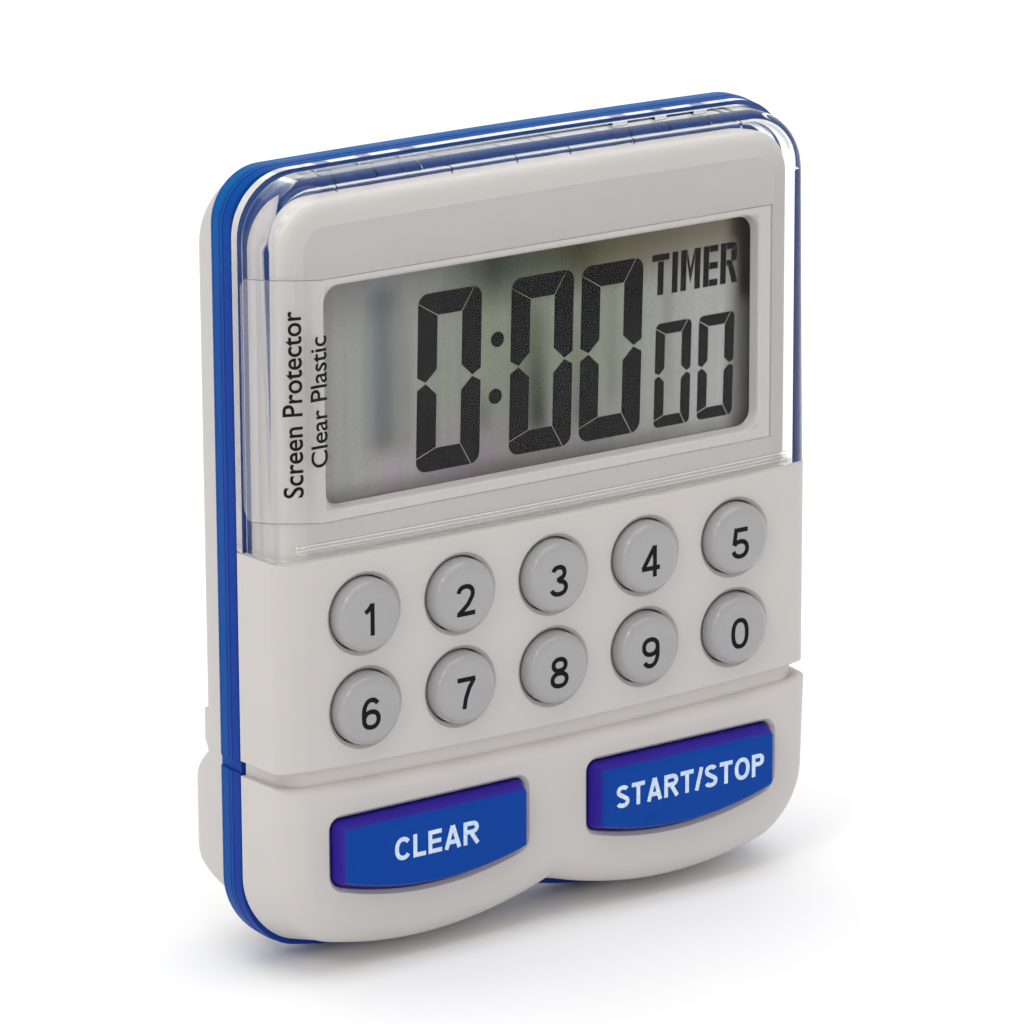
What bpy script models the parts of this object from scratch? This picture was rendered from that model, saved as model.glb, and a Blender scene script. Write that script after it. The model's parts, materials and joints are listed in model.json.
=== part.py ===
"""Ten-key countdown timer with a large display, built as separate pieces.

The timer stands on its base with its face towards -Y, +X to the right of someone reading it and +Z up.
Inside the script, every length is in millimetres and a point is (x, depth, height):
x from the middle, depth backwards from the keypad face, height from the base.
Every mesh is made in metres, with the origin under the middle of the timer's box.
"""
import math

import bmesh
import bpy
from mathutils import Vector

# ---------------------------------------------------------------- driving dimensions (mm)
MM = 0.001
GAP = 0.3                      # clearance left between pieces that touch

FRONT_DEPTH = -2.2             # front of the two wide buttons
BACK_DEPTH = 18.9              # back of the battery bulge
DEPTH_MIDDLE = (FRONT_DEPTH + BACK_DEPTH) / 2

FACE_HALF_WIDTH = 31.6         # front shell at its front edge
JOINT_HALF_WIDTH = 32.05       # front shell where it meets the blue frame
FRAME_HALF_WIDTH = 32.1        # blue frame
TOP_HEIGHT = 79.25              # crown of the top edge
TOP_CROWN = 0.00026             # fall of the top edge, per mm of x squared
TOP_RADIUS = 5.3
REAR_TOP_RADIUS = 8.5
COVER_TOP_RADIUS = 6.0
PLATEAU_TOP_RADIUS = 4.6
BASE_RADIUS = 5.8
LOBE_X = 15.0                  # where each lobe of the base is lowest
EDGE_RADIUS = 3.1              # rounding of the front edges

FRONT_BASE = 1.7               # lowest point of the front shell at its face
JOINT_BASE = 0.8               # the same at the blue frame
LOBE_SPREAD = 98.0             # x squared over this is the rise of a lobe
FRONT_LOBE_SPREAD = 84.0

SHELL_BACK = 6.6               # where the front shell and the display cover end
FRAME_FRONT = 6.9
FRAME_BACK = 10.4
FRAME_WIDTH = 4.0              # width of the frame's ring
REAR_FRONT = 10.7
REAR_BACK = 16.2
WALL = 1.5
REAR_WALL = 1.3
REAR_INSET = 2.0               # rear shell inside the blue frame's outline

BAR_FRONT = -0.7               # the lower bar stands proud of the keypad
BAR_TOP = 19.2
GROOVE_TOP = 20.7
GROOVE_BEND = 0.0008
GROOVE_DEPTH = 0.55
SEAM_HEIGHT = 42.1             # top edge of the keypad panel
SEAM_BEND = 0.0003

PLATEAU_DEPTH = 1.4            # front of the display surround, under the cover
PLATEAU_HALF_WIDTH = 29.8
PLATEAU_WALL = 1.1
PLATEAU_TOP = 76.7
COVER_THICKNESS = 1.1
COVER_STEP = 0.5               # the cover's foot stands this far proud of its wall
COVER_FOOT = 1.0               # depth of that foot

FILM_THICKNESS = 0.15
FILM_TAB_BACK = 5.2
FILM_RIGHT = 26.1
FILM_HEIGHTS = (46.0, 69.7)

WINDOW = (-24.9, 25.4, 46.95, 68.05)
WINDOW_RADIUS = 2.0

KEY_PITCH_X = 11.0
KEY_PITCH_Z = 9.39
TOP_ROW = 36.2
HOLE_RADIUS = 3.86
KEY_RADIUS = 3.62
KEY_FLANGE = 4.5
KEY_LABELS = ("1", "2", "3", "4", "5", "6", "7", "8", "9", "0")

WIDE_INNER = 3.6               # inner and outer ends of a wide button's hole
WIDE_OUTER = 26.6
WIDE_TOP = 16.5
WIDE_BASE = 7.4                # lowest point of its curved base
WIDE_BASE_X = 14.5
WIDE_BASE_SPREAD = 70.0
WIDE_CORNER = 1.2
WIDE_CLEARANCE = 0.35

BOARD_FRONT = 5.1
BOARD_BACK = 5.9
MAT_BACK = 4.85
MAT_FRONT = 4.35
DOME_TOP = 3.9

BATTERY_RADIUS = 5.25
BATTERY_DEPTH = 12.3
BATTERY_HEIGHT = 13.0
BATTERY_ENDS = (-20.4, 23.3, 24.1)

BULGE_DEPTH = 10.4             # centre and radius of the battery bulge's round back
BULGE_HEIGHT = 12.95
BULGE_RADIUS = 8.5
BULGE_ANGLES = (-54.0, 52.0)
BULGE_TOP = 24.0               # the bulge's block ends at this height
DOOR_ANGLES = (-50.0, 46.0)
DOOR_HALF_WIDTH = 24.6
DOOR_THICKNESS = 1.1
DOOR_CLEARANCE = 2.2           # degrees left free at the door's upper and lower edges
BAY_HEIGHTS = (7.45, 18.55)
BAY_FRONT = 6.75

SCREWS = ((-24.0, 72.8), (24.0, 72.8), (-26.9, 31.5), (26.9, 31.5))
BOSS_RADIUS = 2.0
SCREW_SEAT = 12.0

STAND_AXIS = (15.1, 23.2)      # depth and height of the stand's hinge line
STAND_HALF_WIDTH = 14.0
STAND_TOP = 54.0
STAND_THICKNESS = 1.8
TRUNNION = 1.6
RECESS_FLOOR = 13.9            # depth of the recess that holds the folded stand

MAGNETS = ((-22.5, 61.5), (22.5, 61.5))
MAGNET_RADIUS = 4.5
MAGNET_THICKNESS = 1.5
BUZZER = (0.0, 66.0)
BUZZER_RADIUS = 8.5
SOUND_RING = 3.4               # the sound holes stand on a circle of this radius
SOUND_HOLE = 0.7

WIRE_RADIUS = 0.4
ARC_STEPS = 6                  # straight steps in a quarter turn


# ---------------------------------------------------------------- scene helpers
def clear_scene():
    for item in list(bpy.data.objects):
        bpy.data.objects.remove(item, do_unlink=True)


def material(name, color, roughness, metallic=0.0, alpha=1.0):
    made = bpy.data.materials.new(name)
    made.use_nodes = True
    shader = made.node_tree.nodes["Principled BSDF"]
    shader.inputs["Base Color"].default_value = (*color, 1.0)
    shader.inputs["Roughness"].default_value = roughness
    shader.inputs["Metallic"].default_value = metallic
    shader.inputs["Alpha"].default_value = alpha
    return made


def place(point):
    """Metres in the timer's frame from (x, depth, height) in millimetres."""
    x, depth, height = point
    return Vector((x * MM, (depth - DEPTH_MIDDLE) * MM, height * MM))


def new_object(name, bm, finish=None, origin=None):
    """One object from a bmesh; origin is a point (x, depth, height) that becomes the object's origin."""
    bmesh.ops.recalc_face_normals(bm, faces=bm.faces)
    if origin is not None:
        shift = place(origin)
        bmesh.ops.translate(bm, verts=bm.verts, vec=-shift)
    mesh = bpy.data.meshes.new(name)
    bm.to_mesh(mesh)
    bm.free()
    made = bpy.data.objects.new(name, mesh)
    if origin is not None:
        made.location = shift
    if finish is not None:
        mesh.materials.append(finish)
    bpy.context.scene.collection.objects.link(made)
    return made


def smooth(item, angle=35.0):
    item.data.shade_smooth()
    item.data.set_sharp_from_angle(angle=math.radians(angle))


def boolean(item, tool, operation):
    tool.hide_render = True
    tool.display_type = "WIRE"
    step = item.modifiers.new(operation.lower() + "_" + tool.name, "BOOLEAN")
    step.operation = operation
    step.object = tool
    step.solver = "EXACT"


def cut(item, tool):
    boolean(item, tool, "DIFFERENCE")


def join(item, tool):
    boolean(item, tool, "UNION")


# ---------------------------------------------------------------- solids
def add_rings(bm, rings):
    """A closed solid through rings of points that match one to one."""
    loops = [[bm.verts.new(place(point)) for point in ring] for ring in rings]
    count = len(loops[0])
    for near, far in zip(loops, loops[1:]):
        for i in range(count):
            j = (i + 1) % count
            bm.faces.new((near[i], near[j], far[j], far[i]))
    bm.faces.new(loops[0][::-1])
    bm.faces.new(loops[-1])


def add_prism(bm, outline, front, back):
    """An outline of (x, height) points pushed from one depth to another."""
    add_rings(bm, [[(x, depth, height) for x, height in outline] for depth in (front, back)])


def add_bar(bm, profile, x_low, x_high):
    """A profile of (depth, height) points pushed along x."""
    add_rings(bm, [[(x, depth, height) for depth, height in profile] for x in (x_low, x_high)])


def add_box(bm, x_range, depth_range, height_range):
    x0, x1 = x_range
    z0, z1 = height_range
    add_prism(bm, [(x0, z0), (x1, z0), (x1, z1), (x0, z1)], *depth_range)


def circle(radius, steps, start=0.0):
    return [(radius * math.cos(start + 2 * math.pi * i / steps),
             radius * math.sin(start + 2 * math.pi * i / steps)) for i in range(steps)]


def add_turned(bm, x, height, profile, steps):
    """A solid turned about a line along the depth; the profile is (radius, depth) pairs."""
    rings = []
    for radius, depth in profile:
        rings.append([(x + u, depth, height + v) for u, v in circle(radius, steps)])
    add_rings(bm, rings)


def add_disc(bm, x, height, radius, front, back, steps=24):
    add_turned(bm, x, height, [(radius, front), (radius, back)], steps)


def add_rod(bm, depth, height, profile, steps):
    """A solid turned about a line along x; the profile is (radius, x) pairs."""
    rings = []
    for radius, x in profile:
        rings.append([(x, depth + u, height + v) for u, v in circle(radius, steps)])
    add_rings(bm, rings)


def add_tube(bm, points, radius, sides):
    """A round bar along a path of (x, depth, height) points, with flat ends."""
    path = [Vector(point) for point in points]
    rings = []
    normal = None
    for i, here in enumerate(path):
        ahead = path[min(i + 1, len(path) - 1)]
        behind = path[max(i - 1, 0)]
        along = (ahead - behind).normalized()
        if normal is None:
            normal = along.orthogonal().normalized()
        normal = (normal - along * normal.dot(along)).normalized()
        side = along.cross(normal)
        rings.append([tuple(here + normal * u + side * v) for u, v in circle(radius, sides)])
    add_rings(bm, rings)


def box(name, x_range, depth_range, height_range, finish=None):
    bm = bmesh.new()
    add_box(bm, x_range, depth_range, height_range)
    return new_object(name, bm, finish)


# ---------------------------------------------------------------- outlines
def lobe_height(x, base, spread):
    return base + (abs(x) - LOBE_X) ** 2 / spread


def top_height(x):
    return TOP_HEIGHT - TOP_CROWN * x * x


def seam_height(x):
    return SEAM_HEIGHT + SEAM_BEND * x * x


def groove_height(x, middle):
    return middle + GROOVE_BEND * x * x


def right_base(half_width, base, spread, steps=7):
    """The base from the cusp to the right side, without the cusp itself."""
    flat = half_width - BASE_RADIUS
    points = [(flat * i / steps, lobe_height(flat * i / steps, base, spread)) for i in range(1, steps + 1)]
    for i in range(1, ARC_STEPS + 1):
        turn = math.pi / 2 * i / ARC_STEPS
        x = flat + BASE_RADIUS * math.sin(turn)
        points.append((x, lobe_height(x, base, spread) + BASE_RADIUS * (1 - math.cos(turn))))
    return points


def right_top(half_width, drop=0.0, radius=TOP_RADIUS, steps=5):
    """The top from the right side to the middle, without the middle itself."""
    flat = half_width - radius
    points = []
    for i in range(ARC_STEPS + 1):
        turn = math.pi / 2 * (1 - i / ARC_STEPS)
        x = flat + radius * math.sin(turn)
        points.append((x, top_height(x) - drop - radius * (1 - math.cos(turn))))
    points += [(flat * (1 - i / steps), top_height(flat * (1 - i / steps)) - drop) for i in range(1, steps)]
    return points


def mirrored(points):
    return [(-x, height) for x, height in reversed(points)]


def full_outline(half_width, base, spread=LOBE_SPREAD, drop=0.0, radius=TOP_RADIUS):
    """The whole front view outline, anticlockwise from the cusp of the base."""
    low = right_base(half_width, base, spread)
    high = right_top(half_width, drop, radius)
    cusp = [(0.0, lobe_height(0.0, base, spread))]
    crown = [(0.0, top_height(0.0) - drop)]
    return cusp + low + high + crown + mirrored(high) + mirrored(low)


def line_across(half_width, height_at, steps=8):
    """A slightly bent line across the body, from right to left."""
    return [(half_width * (1 - 2 * i / steps), height_at(half_width * (1 - 2 * i / steps)))
            for i in range(steps + 1)]


def offset(outline, distance):
    """Move an anticlockwise outline inwards; distance may be one number or one for each edge."""
    count = len(outline)
    per_edge = distance if isinstance(distance, list) else [distance] * count
    moved = []
    for i in range(count):
        x, z = outline[i]
        before = outline[i - 1]
        after = outline[(i + 1) % count]
        first = Vector((x - before[0], z - before[1])).normalized()
        second = Vector((after[0] - x, after[1] - z)).normalized()
        n1 = Vector((-first.y, first.x))
        n2 = Vector((-second.y, second.x))
        d1 = per_edge[i - 1]
        d2 = per_edge[i]
        across = n1.x * n2.y - n1.y * n2.x
        if abs(across) < 0.02:
            shift = (n1 + n2).normalized() * (d1 + d2) / 2
        else:
            shift = Vector(((d1 * n2.y - d2 * n1.y) / across, (d2 * n1.x - d1 * n2.x) / across))
        moved.append((x + shift.x, z + shift.y))
    return moved


def rounded_rectangle(x0, x1, z0, z1, radius, steps=4):
    corners = ((x1 - radius, z0 + radius, -90), (x1 - radius, z1 - radius, 0),
               (x0 + radius, z1 - radius, 90), (x0 + radius, z0 + radius, 180))
    points = []
    for cx, cz, start in corners:
        for i in range(steps + 1):
            turn = math.radians(start + 90 * i / steps)
            points.append((cx + radius * math.cos(turn), cz + radius * math.sin(turn)))
    return points


def add_plate(bm, outline, back_outline, radii, front, back, steps=4):
    """A plate whose front edge is rounded, edge by edge, and whose sides run back to a second outline."""
    rings = []
    for i in range(steps + 1):
        turn = math.pi / 2 * i / steps
        inset = [radius * (1 - math.sin(turn)) for radius in radii]
        ring = offset(outline, inset)
        count = len(ring)
        depths = [front + (radii[j - 1] + radii[j]) / 2 * (1 - math.cos(turn)) for j in range(count)]
        rings.append([(x, depth, height) for (x, height), depth in zip(ring, depths)])
    rings.append([(x, back, height) for x, height in back_outline])
    add_rings(bm, rings)


# ---------------------------------------------------------------- outlines of the front pieces
def lower_outline(half_width, base, spread, height_at):
    low = right_base(half_width, base, spread)
    cusp = [(0.0, lobe_height(0.0, base, spread))]
    return cusp + low + line_across(half_width, height_at) + mirrored(low)


def panel_outline(half_width):
    low = line_across(half_width, lambda x: groove_height(x, GROOVE_TOP))
    high = line_across(half_width, seam_height)
    return low[::-1] + high


def upper_outline(half_width, start_at, drop=0.0, radius=TOP_RADIUS):
    low = line_across(half_width, start_at)
    high = right_top(half_width, drop, radius)
    return low[::-1] + high + [(0.0, top_height(0.0) - drop)] + mirrored(high)


def edge_radii(outline, side_radius, line_at, line_radius):
    """The big rounding everywhere, but the small one on edges that lie on one bent line."""
    radii = []
    for (x0, z0), (x1, z1) in zip(outline, outline[1:] + outline[:1]):
        middle_x = (x0 + x1) / 2
        on_line = abs((z0 + z1) / 2 - line_at(middle_x)) < 0.1
        radii.append(line_radius if on_line else side_radius)
    return radii


# ---------------------------------------------------------------- front shell
def bar_line(x):
    return groove_height(x, BAR_TOP)


def groove_line(x):
    return groove_height(x, GROOVE_TOP)


def hollow_line(x):
    return seam_height(x) - 0.9


def core_line(x):
    return SEAM_HEIGHT - 3.0


def wide_base(x):
    return WIDE_BASE + (x - WIDE_BASE_X) ** 2 / WIDE_BASE_SPREAD


def wide_hole(side, inset=0.0):
    """The hole of a wide button: straight sides and top, and a base that follows the lobe."""
    steps = 6
    low_x, high_x = WIDE_INNER + 1.4, WIDE_OUTER - 2.0
    outline = []
    for i in range(steps + 1):
        x = low_x + (high_x - low_x) * i / steps
        outline.append((x, wide_base(x)))
    radius = WIDE_CORNER
    corners = ((WIDE_OUTER - 1.5, wide_base(WIDE_OUTER) + 1.6, 1.5, -90),
               (WIDE_OUTER - radius, WIDE_TOP - radius, radius, 0),
               (WIDE_INNER + radius, WIDE_TOP - radius, radius, 90),
               (WIDE_INNER + radius, wide_base(WIDE_INNER) + 1.3, radius, 180))
    for x, height, radius, start in corners:
        for i in range(4):
            turn = math.radians(start + 15 + 20 * i)
            outline.append((x + radius * math.cos(turn), height + radius * math.sin(turn)))
    outline = offset(outline, inset)
    if side < 0:
        outline = [(-x, height) for x, height in reversed(outline)]
    return outline


def key_places():
    return [((i % 5 - 2) * KEY_PITCH_X, TOP_ROW - KEY_PITCH_Z * (i // 5)) for i in range(10)]


def make_front_shell(finish):
    bm = bmesh.new()
    panel = panel_outline(FACE_HALF_WIDTH)
    radii = edge_radii(panel, EDGE_RADIUS, seam_height, 0.8)
    for i, ((x0, z0), (x1, z1)) in enumerate(zip(panel, panel[1:] + panel[:1])):
        if abs((z0 + z1) / 2 - groove_line((x0 + x1) / 2)) < 0.1:
            radii[i] = 0.35
    add_plate(bm, panel, panel_outline(JOINT_HALF_WIDTH), radii, 0.0, SHELL_BACK)
    shell = new_object("front_shell", bm, finish)

    bm = bmesh.new()
    bar = lower_outline(FACE_HALF_WIDTH, FRONT_BASE, FRONT_LOBE_SPREAD, bar_line)
    back = lower_outline(JOINT_HALF_WIDTH, JOINT_BASE, LOBE_SPREAD, bar_line)
    add_plate(bm, bar, back, edge_radii(bar, EDGE_RADIUS, bar_line, 1.3), BAR_FRONT, SHELL_BACK)
    join(shell, new_object("tool_bar", bm))

    bm = bmesh.new()
    face_inset = FACE_HALF_WIDTH - GROOVE_DEPTH
    core = lower_outline(face_inset, FRONT_BASE + 1.0, FRONT_LOBE_SPREAD, core_line)
    back = lower_outline(JOINT_HALF_WIDTH - GROOVE_DEPTH, JOINT_BASE + 1.0, LOBE_SPREAD, core_line)
    add_plate(bm, core, back, [EDGE_RADIUS] * len(core), GROOVE_DEPTH, SHELL_BACK - 0.05)
    join(shell, new_object("tool_core", bm))

    bm = bmesh.new()
    surround = upper_outline(PLATEAU_HALF_WIDTH, lambda x: SEAM_HEIGHT - 2.0, TOP_HEIGHT - PLATEAU_TOP,
                             PLATEAU_TOP_RADIUS)
    add_plate(bm, surround, surround, [1.6] * len(surround), PLATEAU_DEPTH, SHELL_BACK - 0.1)
    join(shell, new_object("tool_surround", bm))

    bm = bmesh.new()
    low = lower_outline(FACE_HALF_WIDTH - WALL, FRONT_BASE + WALL, FRONT_LOBE_SPREAD, hollow_line)
    add_plate(bm, low, low, edge_radii(low, 1.6, hollow_line, 0.2), 1.5, SHELL_BACK + 1.0)
    cut(shell, new_object("tool_lower_hollow", bm))

    bm = bmesh.new()
    half, drop = PLATEAU_HALF_WIDTH - 1.2, TOP_HEIGHT - PLATEAU_TOP + 1.2
    high = upper_outline(half, lambda x: SEAM_HEIGHT - 2.4, drop, PLATEAU_TOP_RADIUS - 1.1)
    add_prism(bm, high, PLATEAU_DEPTH + PLATEAU_WALL, SHELL_BACK + 1.2)
    cut(shell, new_object("tool_upper_hollow", bm))

    bm = bmesh.new()
    for x, height in SCREWS:
        root = 1.0 if height < SEAM_HEIGHT else PLATEAU_DEPTH + 0.6
        add_disc(bm, x, height, BOSS_RADIUS, root, FRAME_BACK, 16)
    join(shell, new_object("tool_bosses", bm))

    bm = bmesh.new()
    for x, height in SCREWS:
        add_disc(bm, x, height, 1.2, 4.6, FRAME_BACK + 1.0, 10)
    for x, height in key_places():
        rim = [(HOLE_RADIUS + 0.6, -1.0), (HOLE_RADIUS + 0.3, 0.0), (HOLE_RADIUS, 0.5), (HOLE_RADIUS, 3.0)]
        add_turned(bm, x, height, rim, 28)
    for side in (-1, 1):
        rings = []
        for inset, depth in ((-0.6, BAR_FRONT - 1.0), (-0.16, BAR_FRONT), (0.0, BAR_FRONT + 0.2), (0.0, 3.0)):
            rings.append([(x, depth, height) for x, height in wide_hole(side, inset)])
        add_rings(bm, rings)
    x0, x1, z0, z1 = WINDOW
    rings = []
    levels = ((0.6, PLATEAU_DEPTH - 0.5), (0.35, PLATEAU_DEPTH), (0.0, PLATEAU_DEPTH + PLATEAU_WALL + 0.5))
    for grow, depth in levels:
        frame = rounded_rectangle(x0 - grow, x1 + grow, z0 - grow, z1 + grow, WINDOW_RADIUS + grow)
        rings.append([(x, depth, height) for x, height in frame])
    add_rings(bm, rings)
    cut(shell, new_object("tool_front_holes", bm))
    return shell


# ---------------------------------------------------------------- display cover and film
def cover_line(x):
    return seam_height(x) + GAP


def make_display_cover(finish):
    wall = JOINT_HALF_WIDTH - COVER_STEP
    outline = upper_outline(FACE_HALF_WIDTH - 0.1, cover_line, 0.5, COVER_TOP_RADIUS)
    back = upper_outline(wall, cover_line, 0.35, COVER_TOP_RADIUS)
    bm = bmesh.new()
    radii = edge_radii(outline, EDGE_RADIUS, cover_line, 0.4)
    add_plate(bm, outline, back, radii, 0.0, SHELL_BACK - 0.05)
    cover = new_object("display_cover", bm, finish)

    bm = bmesh.new()
    foot = upper_outline(JOINT_HALF_WIDTH, cover_line, 0.0, COVER_TOP_RADIUS)
    add_prism(bm, foot, SHELL_BACK - COVER_FOOT, SHELL_BACK)
    join(cover, new_object("tool_foot", bm))

    bm = bmesh.new()
    inner = upper_outline(wall - 1.3, lambda x: SEAM_HEIGHT - 2.0, 1.6, COVER_TOP_RADIUS - 1.3)
    add_plate(bm, inner, inner, [1.6] * len(inner), COVER_THICKNESS, SHELL_BACK + 1.0)
    cut(cover, new_object("tool_cover_hollow", bm))
    return cover


def make_screen_film(finish):
    """A thin clear film over the display cover, with its left edge bent round the side as a tab."""
    inner = EDGE_RADIUS + GAP
    outer = inner + FILM_THICKNESS
    centre_x = outer - JOINT_HALF_WIDTH
    bend = [math.pi / 2 * i / ARC_STEPS for i in range(ARC_STEPS + 1)]
    profile = [(centre_x - outer, FILM_TAB_BACK)]
    profile += [(centre_x - outer * math.cos(turn), EDGE_RADIUS - outer * math.sin(turn)) for turn in bend]
    profile += [(FILM_RIGHT, EDGE_RADIUS - outer), (FILM_RIGHT, EDGE_RADIUS - inner)]
    for turn in reversed(bend):
        profile.append((centre_x - inner * math.cos(turn), EDGE_RADIUS - inner * math.sin(turn)))
    profile += [(centre_x - inner, FILM_TAB_BACK)]
    bm = bmesh.new()
    add_rings(bm, [[(x, depth, height) for x, depth in profile] for height in FILM_HEIGHTS])
    return new_object("screen_film", bm, finish)


# ---------------------------------------------------------------- blue frame
def make_mid_frame(finish):
    outline = full_outline(FRAME_HALF_WIDTH, 0.0)
    levels = ((0.25, FRAME_FRONT), (0.0, FRAME_FRONT + 0.25), (0.0, FRAME_BACK - 0.35), (0.35, FRAME_BACK))
    bm = bmesh.new()
    rings = []
    for inset, depth in levels:
        rings.append([(x, depth, height) for x, height in offset(outline, inset)])
    add_rings(bm, rings)
    frame = new_object("mid_frame", bm, finish)

    bm = bmesh.new()
    add_prism(bm, offset(outline, FRAME_WIDTH), FRAME_FRONT - 1.0, FRAME_BACK + 1.0)
    cut(frame, new_object("tool_frame_hollow", bm))

    bm = bmesh.new()
    for x, height in SCREWS:
        add_disc(bm, x, height, BOSS_RADIUS + GAP, FRAME_FRONT - 1.5, FRAME_BACK + 1.5, 16)
    for side in (-1, 1):
        x_range = (side * FRAME_HALF_WIDTH - 0.5, side * FRAME_HALF_WIDTH + 0.5)
        low = BAR_TOP + GROOVE_BEND * FRAME_HALF_WIDTH ** 2
        add_box(bm, x_range, (FRAME_FRONT - 1.0, FRAME_BACK + 1.0), (low, low + 1.3))
    cut(frame, new_object("tool_frame_holes", bm))
    return frame


# ---------------------------------------------------------------- rear shell
def bulge_arc(radius, low, high, steps=10):
    points = []
    for i in range(steps + 1):
        turn = math.radians(low + (high - low) * i / steps)
        points.append((BULGE_DEPTH + radius * math.cos(turn), BULGE_HEIGHT + radius * math.sin(turn)))
    return points


def rear_profile(inset):
    """Side view of the rear shell's outside, or of its inside when inset is the wall.

    The bulge runs into a straight slope that meets the blue frame near the base.
    """
    front = REAR_FRONT - (5.0 if inset else 0.0)
    back = REAR_BACK - inset
    arc = bulge_arc(BULGE_RADIUS - inset, *BULGE_ANGLES)
    slope = 1.0 / math.tan(math.radians(-BULGE_ANGLES[0]))
    foot = arc[0][1] - (arc[0][0] - front) * slope
    notch = arc[-1][1] + 0.6
    return [(front, foot)] + arc + [
        (back - 0.35, notch), (back, notch + 0.5), (back, TOP_HEIGHT + 3.0), (front, TOP_HEIGHT + 3.0)]


def make_rear_shell(finish):
    outline = offset(full_outline(FRAME_HALF_WIDTH, 0.0, radius=REAR_TOP_RADIUS), REAR_INSET)
    levels = ((0.0, REAR_FRONT), (0.0, REAR_BACK - 0.8), (0.25, REAR_BACK - 0.25), (0.8, REAR_BACK))
    bm = bmesh.new()
    rings = []
    for inset, depth in levels:
        rings.append([(x, depth, height) for x, height in offset(outline, inset)])
    add_rings(bm, rings)
    shell = new_object("rear_shell", bm, finish)

    bm = bmesh.new()
    side = FRAME_HALF_WIDTH - REAR_INSET
    lower = [(x, height) for x, height in outline if height < BULGE_TOP]
    left = [point for point in lower if point[0] < 0]
    right = [point for point in lower if point[0] >= 0]
    bulge = right + [(side, BULGE_TOP), (-side, BULGE_TOP)] + left
    levels = ((0.0, REAR_FRONT + 0.1), (0.0, BACK_DEPTH - 2.0),
              (0.5, BACK_DEPTH - 0.8), (1.2, BACK_DEPTH + 0.1))
    rings = []
    for inset, depth in levels:
        rings.append([(x, depth, height) for x, height in offset(bulge, inset)])
    add_rings(bm, rings)
    join(shell, new_object("tool_bulge", bm))

    bm = bmesh.new()
    add_bar(bm, rear_profile(0.0), -40.0, 40.0)
    boolean(shell, new_object("tool_rear_profile", bm), "INTERSECT")

    bm = bmesh.new()
    add_prism(bm, offset(outline, REAR_WALL), REAR_FRONT - 4.0, BACK_DEPTH + 1.0)
    hollow = new_object("tool_rear_hollow", bm)
    bm = bmesh.new()
    add_bar(bm, rear_profile(REAR_WALL), -39.0, 39.0)
    boolean(hollow, new_object("tool_rear_inside", bm), "INTERSECT")
    cut(shell, hollow)

    # battery bay, screw seats, magnet cups, buzzer ring and the stand's recess: made solid, then hollowed
    bm = bmesh.new()
    bay_half = DOOR_HALF_WIDTH + 1.6
    bay_heights = (BAY_HEIGHTS[0] - 0.8, BAY_HEIGHTS[1] + 0.85)
    add_box(bm, (-bay_half, bay_half), (BAY_FRONT - 0.65, 15.5), bay_heights)
    recess_half = STAND_HALF_WIDTH + 2.6
    add_box(bm, (-recess_half, recess_half), (RECESS_FLOOR - 1.3, REAR_BACK - 0.4), (20.6, STAND_TOP + 1.2))
    for x, height in SCREWS:
        add_disc(bm, x, height, 3.1, REAR_FRONT, REAR_BACK - 0.3, 16)
    for x, height in MAGNETS:
        add_disc(bm, x, height, MAGNET_RADIUS + 1.2, 13.0, REAR_BACK - 0.35, 24)
    add_disc(bm, *BUZZER, BUZZER_RADIUS + 1.5, 12.4, REAR_BACK - 0.35, 28)
    ribs = new_object("tool_rear_ribs", bm)
    bm = bmesh.new()
    add_prism(bm, offset(outline, 0.4), 2.0, BACK_DEPTH - 0.2)
    boolean(ribs, new_object("tool_rib_limit", bm), "INTERSECT")
    join(shell, ribs)

    bm = bmesh.new()
    bay_base, bay_top = BAY_HEIGHTS
    low, high = DOOR_ANGLES
    bay = [(BAY_FRONT, bay_base), (BATTERY_DEPTH - GAP, bay_base)]
    bay += bulge_arc(BULGE_RADIUS + 1.5, low - DOOR_CLEARANCE, high + DOOR_CLEARANCE, 8)
    bay += [(BATTERY_DEPTH - GAP, bay_top), (BAY_FRONT, bay_top)]
    add_bar(bm, bay, -DOOR_HALF_WIDTH - GAP, DOOR_HALF_WIDTH + GAP)
    for x, height in SCREWS:
        seat = [(1.3, REAR_FRONT - 1.0), (1.3, SCREW_SEAT), (2.25, SCREW_SEAT), (2.25, REAR_BACK + 1.0)]
        add_turned(bm, x, height, seat, 16)
    for x, height in MAGNETS:
        pocket = REAR_BACK - MAGNET_THICKNESS - GAP
        add_disc(bm, x, height, MAGNET_RADIUS + GAP, pocket, REAR_BACK + 1.0, 24)
    slot_half = STAND_HALF_WIDTH + GAP
    add_box(bm, (-slot_half, slot_half), (RECESS_FLOOR, REAR_BACK + 1.0), (20.0, STAND_TOP + GAP))
    cut(shell, new_object("tool_rear_pockets", bm))

    bm = bmesh.new()
    add_disc(bm, *BUZZER, BUZZER_RADIUS + GAP, 10.0, REAR_BACK - REAR_WALL - 0.1, 28)
    trunnion_end = STAND_HALF_WIDTH + TRUNNION + GAP
    add_rod(bm, *STAND_AXIS, [(0.95, -trunnion_end), (0.95, trunnion_end)], 16)
    cut(shell, new_object("tool_rear_seats", bm))

    bm = bmesh.new()
    for i in range(5):
        turn = math.radians(72 * i + 90)
        x = BUZZER[0] + SOUND_RING * math.cos(turn)
        height = BUZZER[1] + SOUND_RING * math.sin(turn)
        add_disc(bm, x, height, SOUND_HOLE, 13.0, REAR_BACK + 1.0, 8)
    add_disc(bm, 0.0, STAND_TOP - 0.6, 4.0, RECESS_FLOOR + 0.05, REAR_BACK + 1.0, 20)
    cut(shell, new_object("tool_sound_holes", bm))
    return shell


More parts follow.
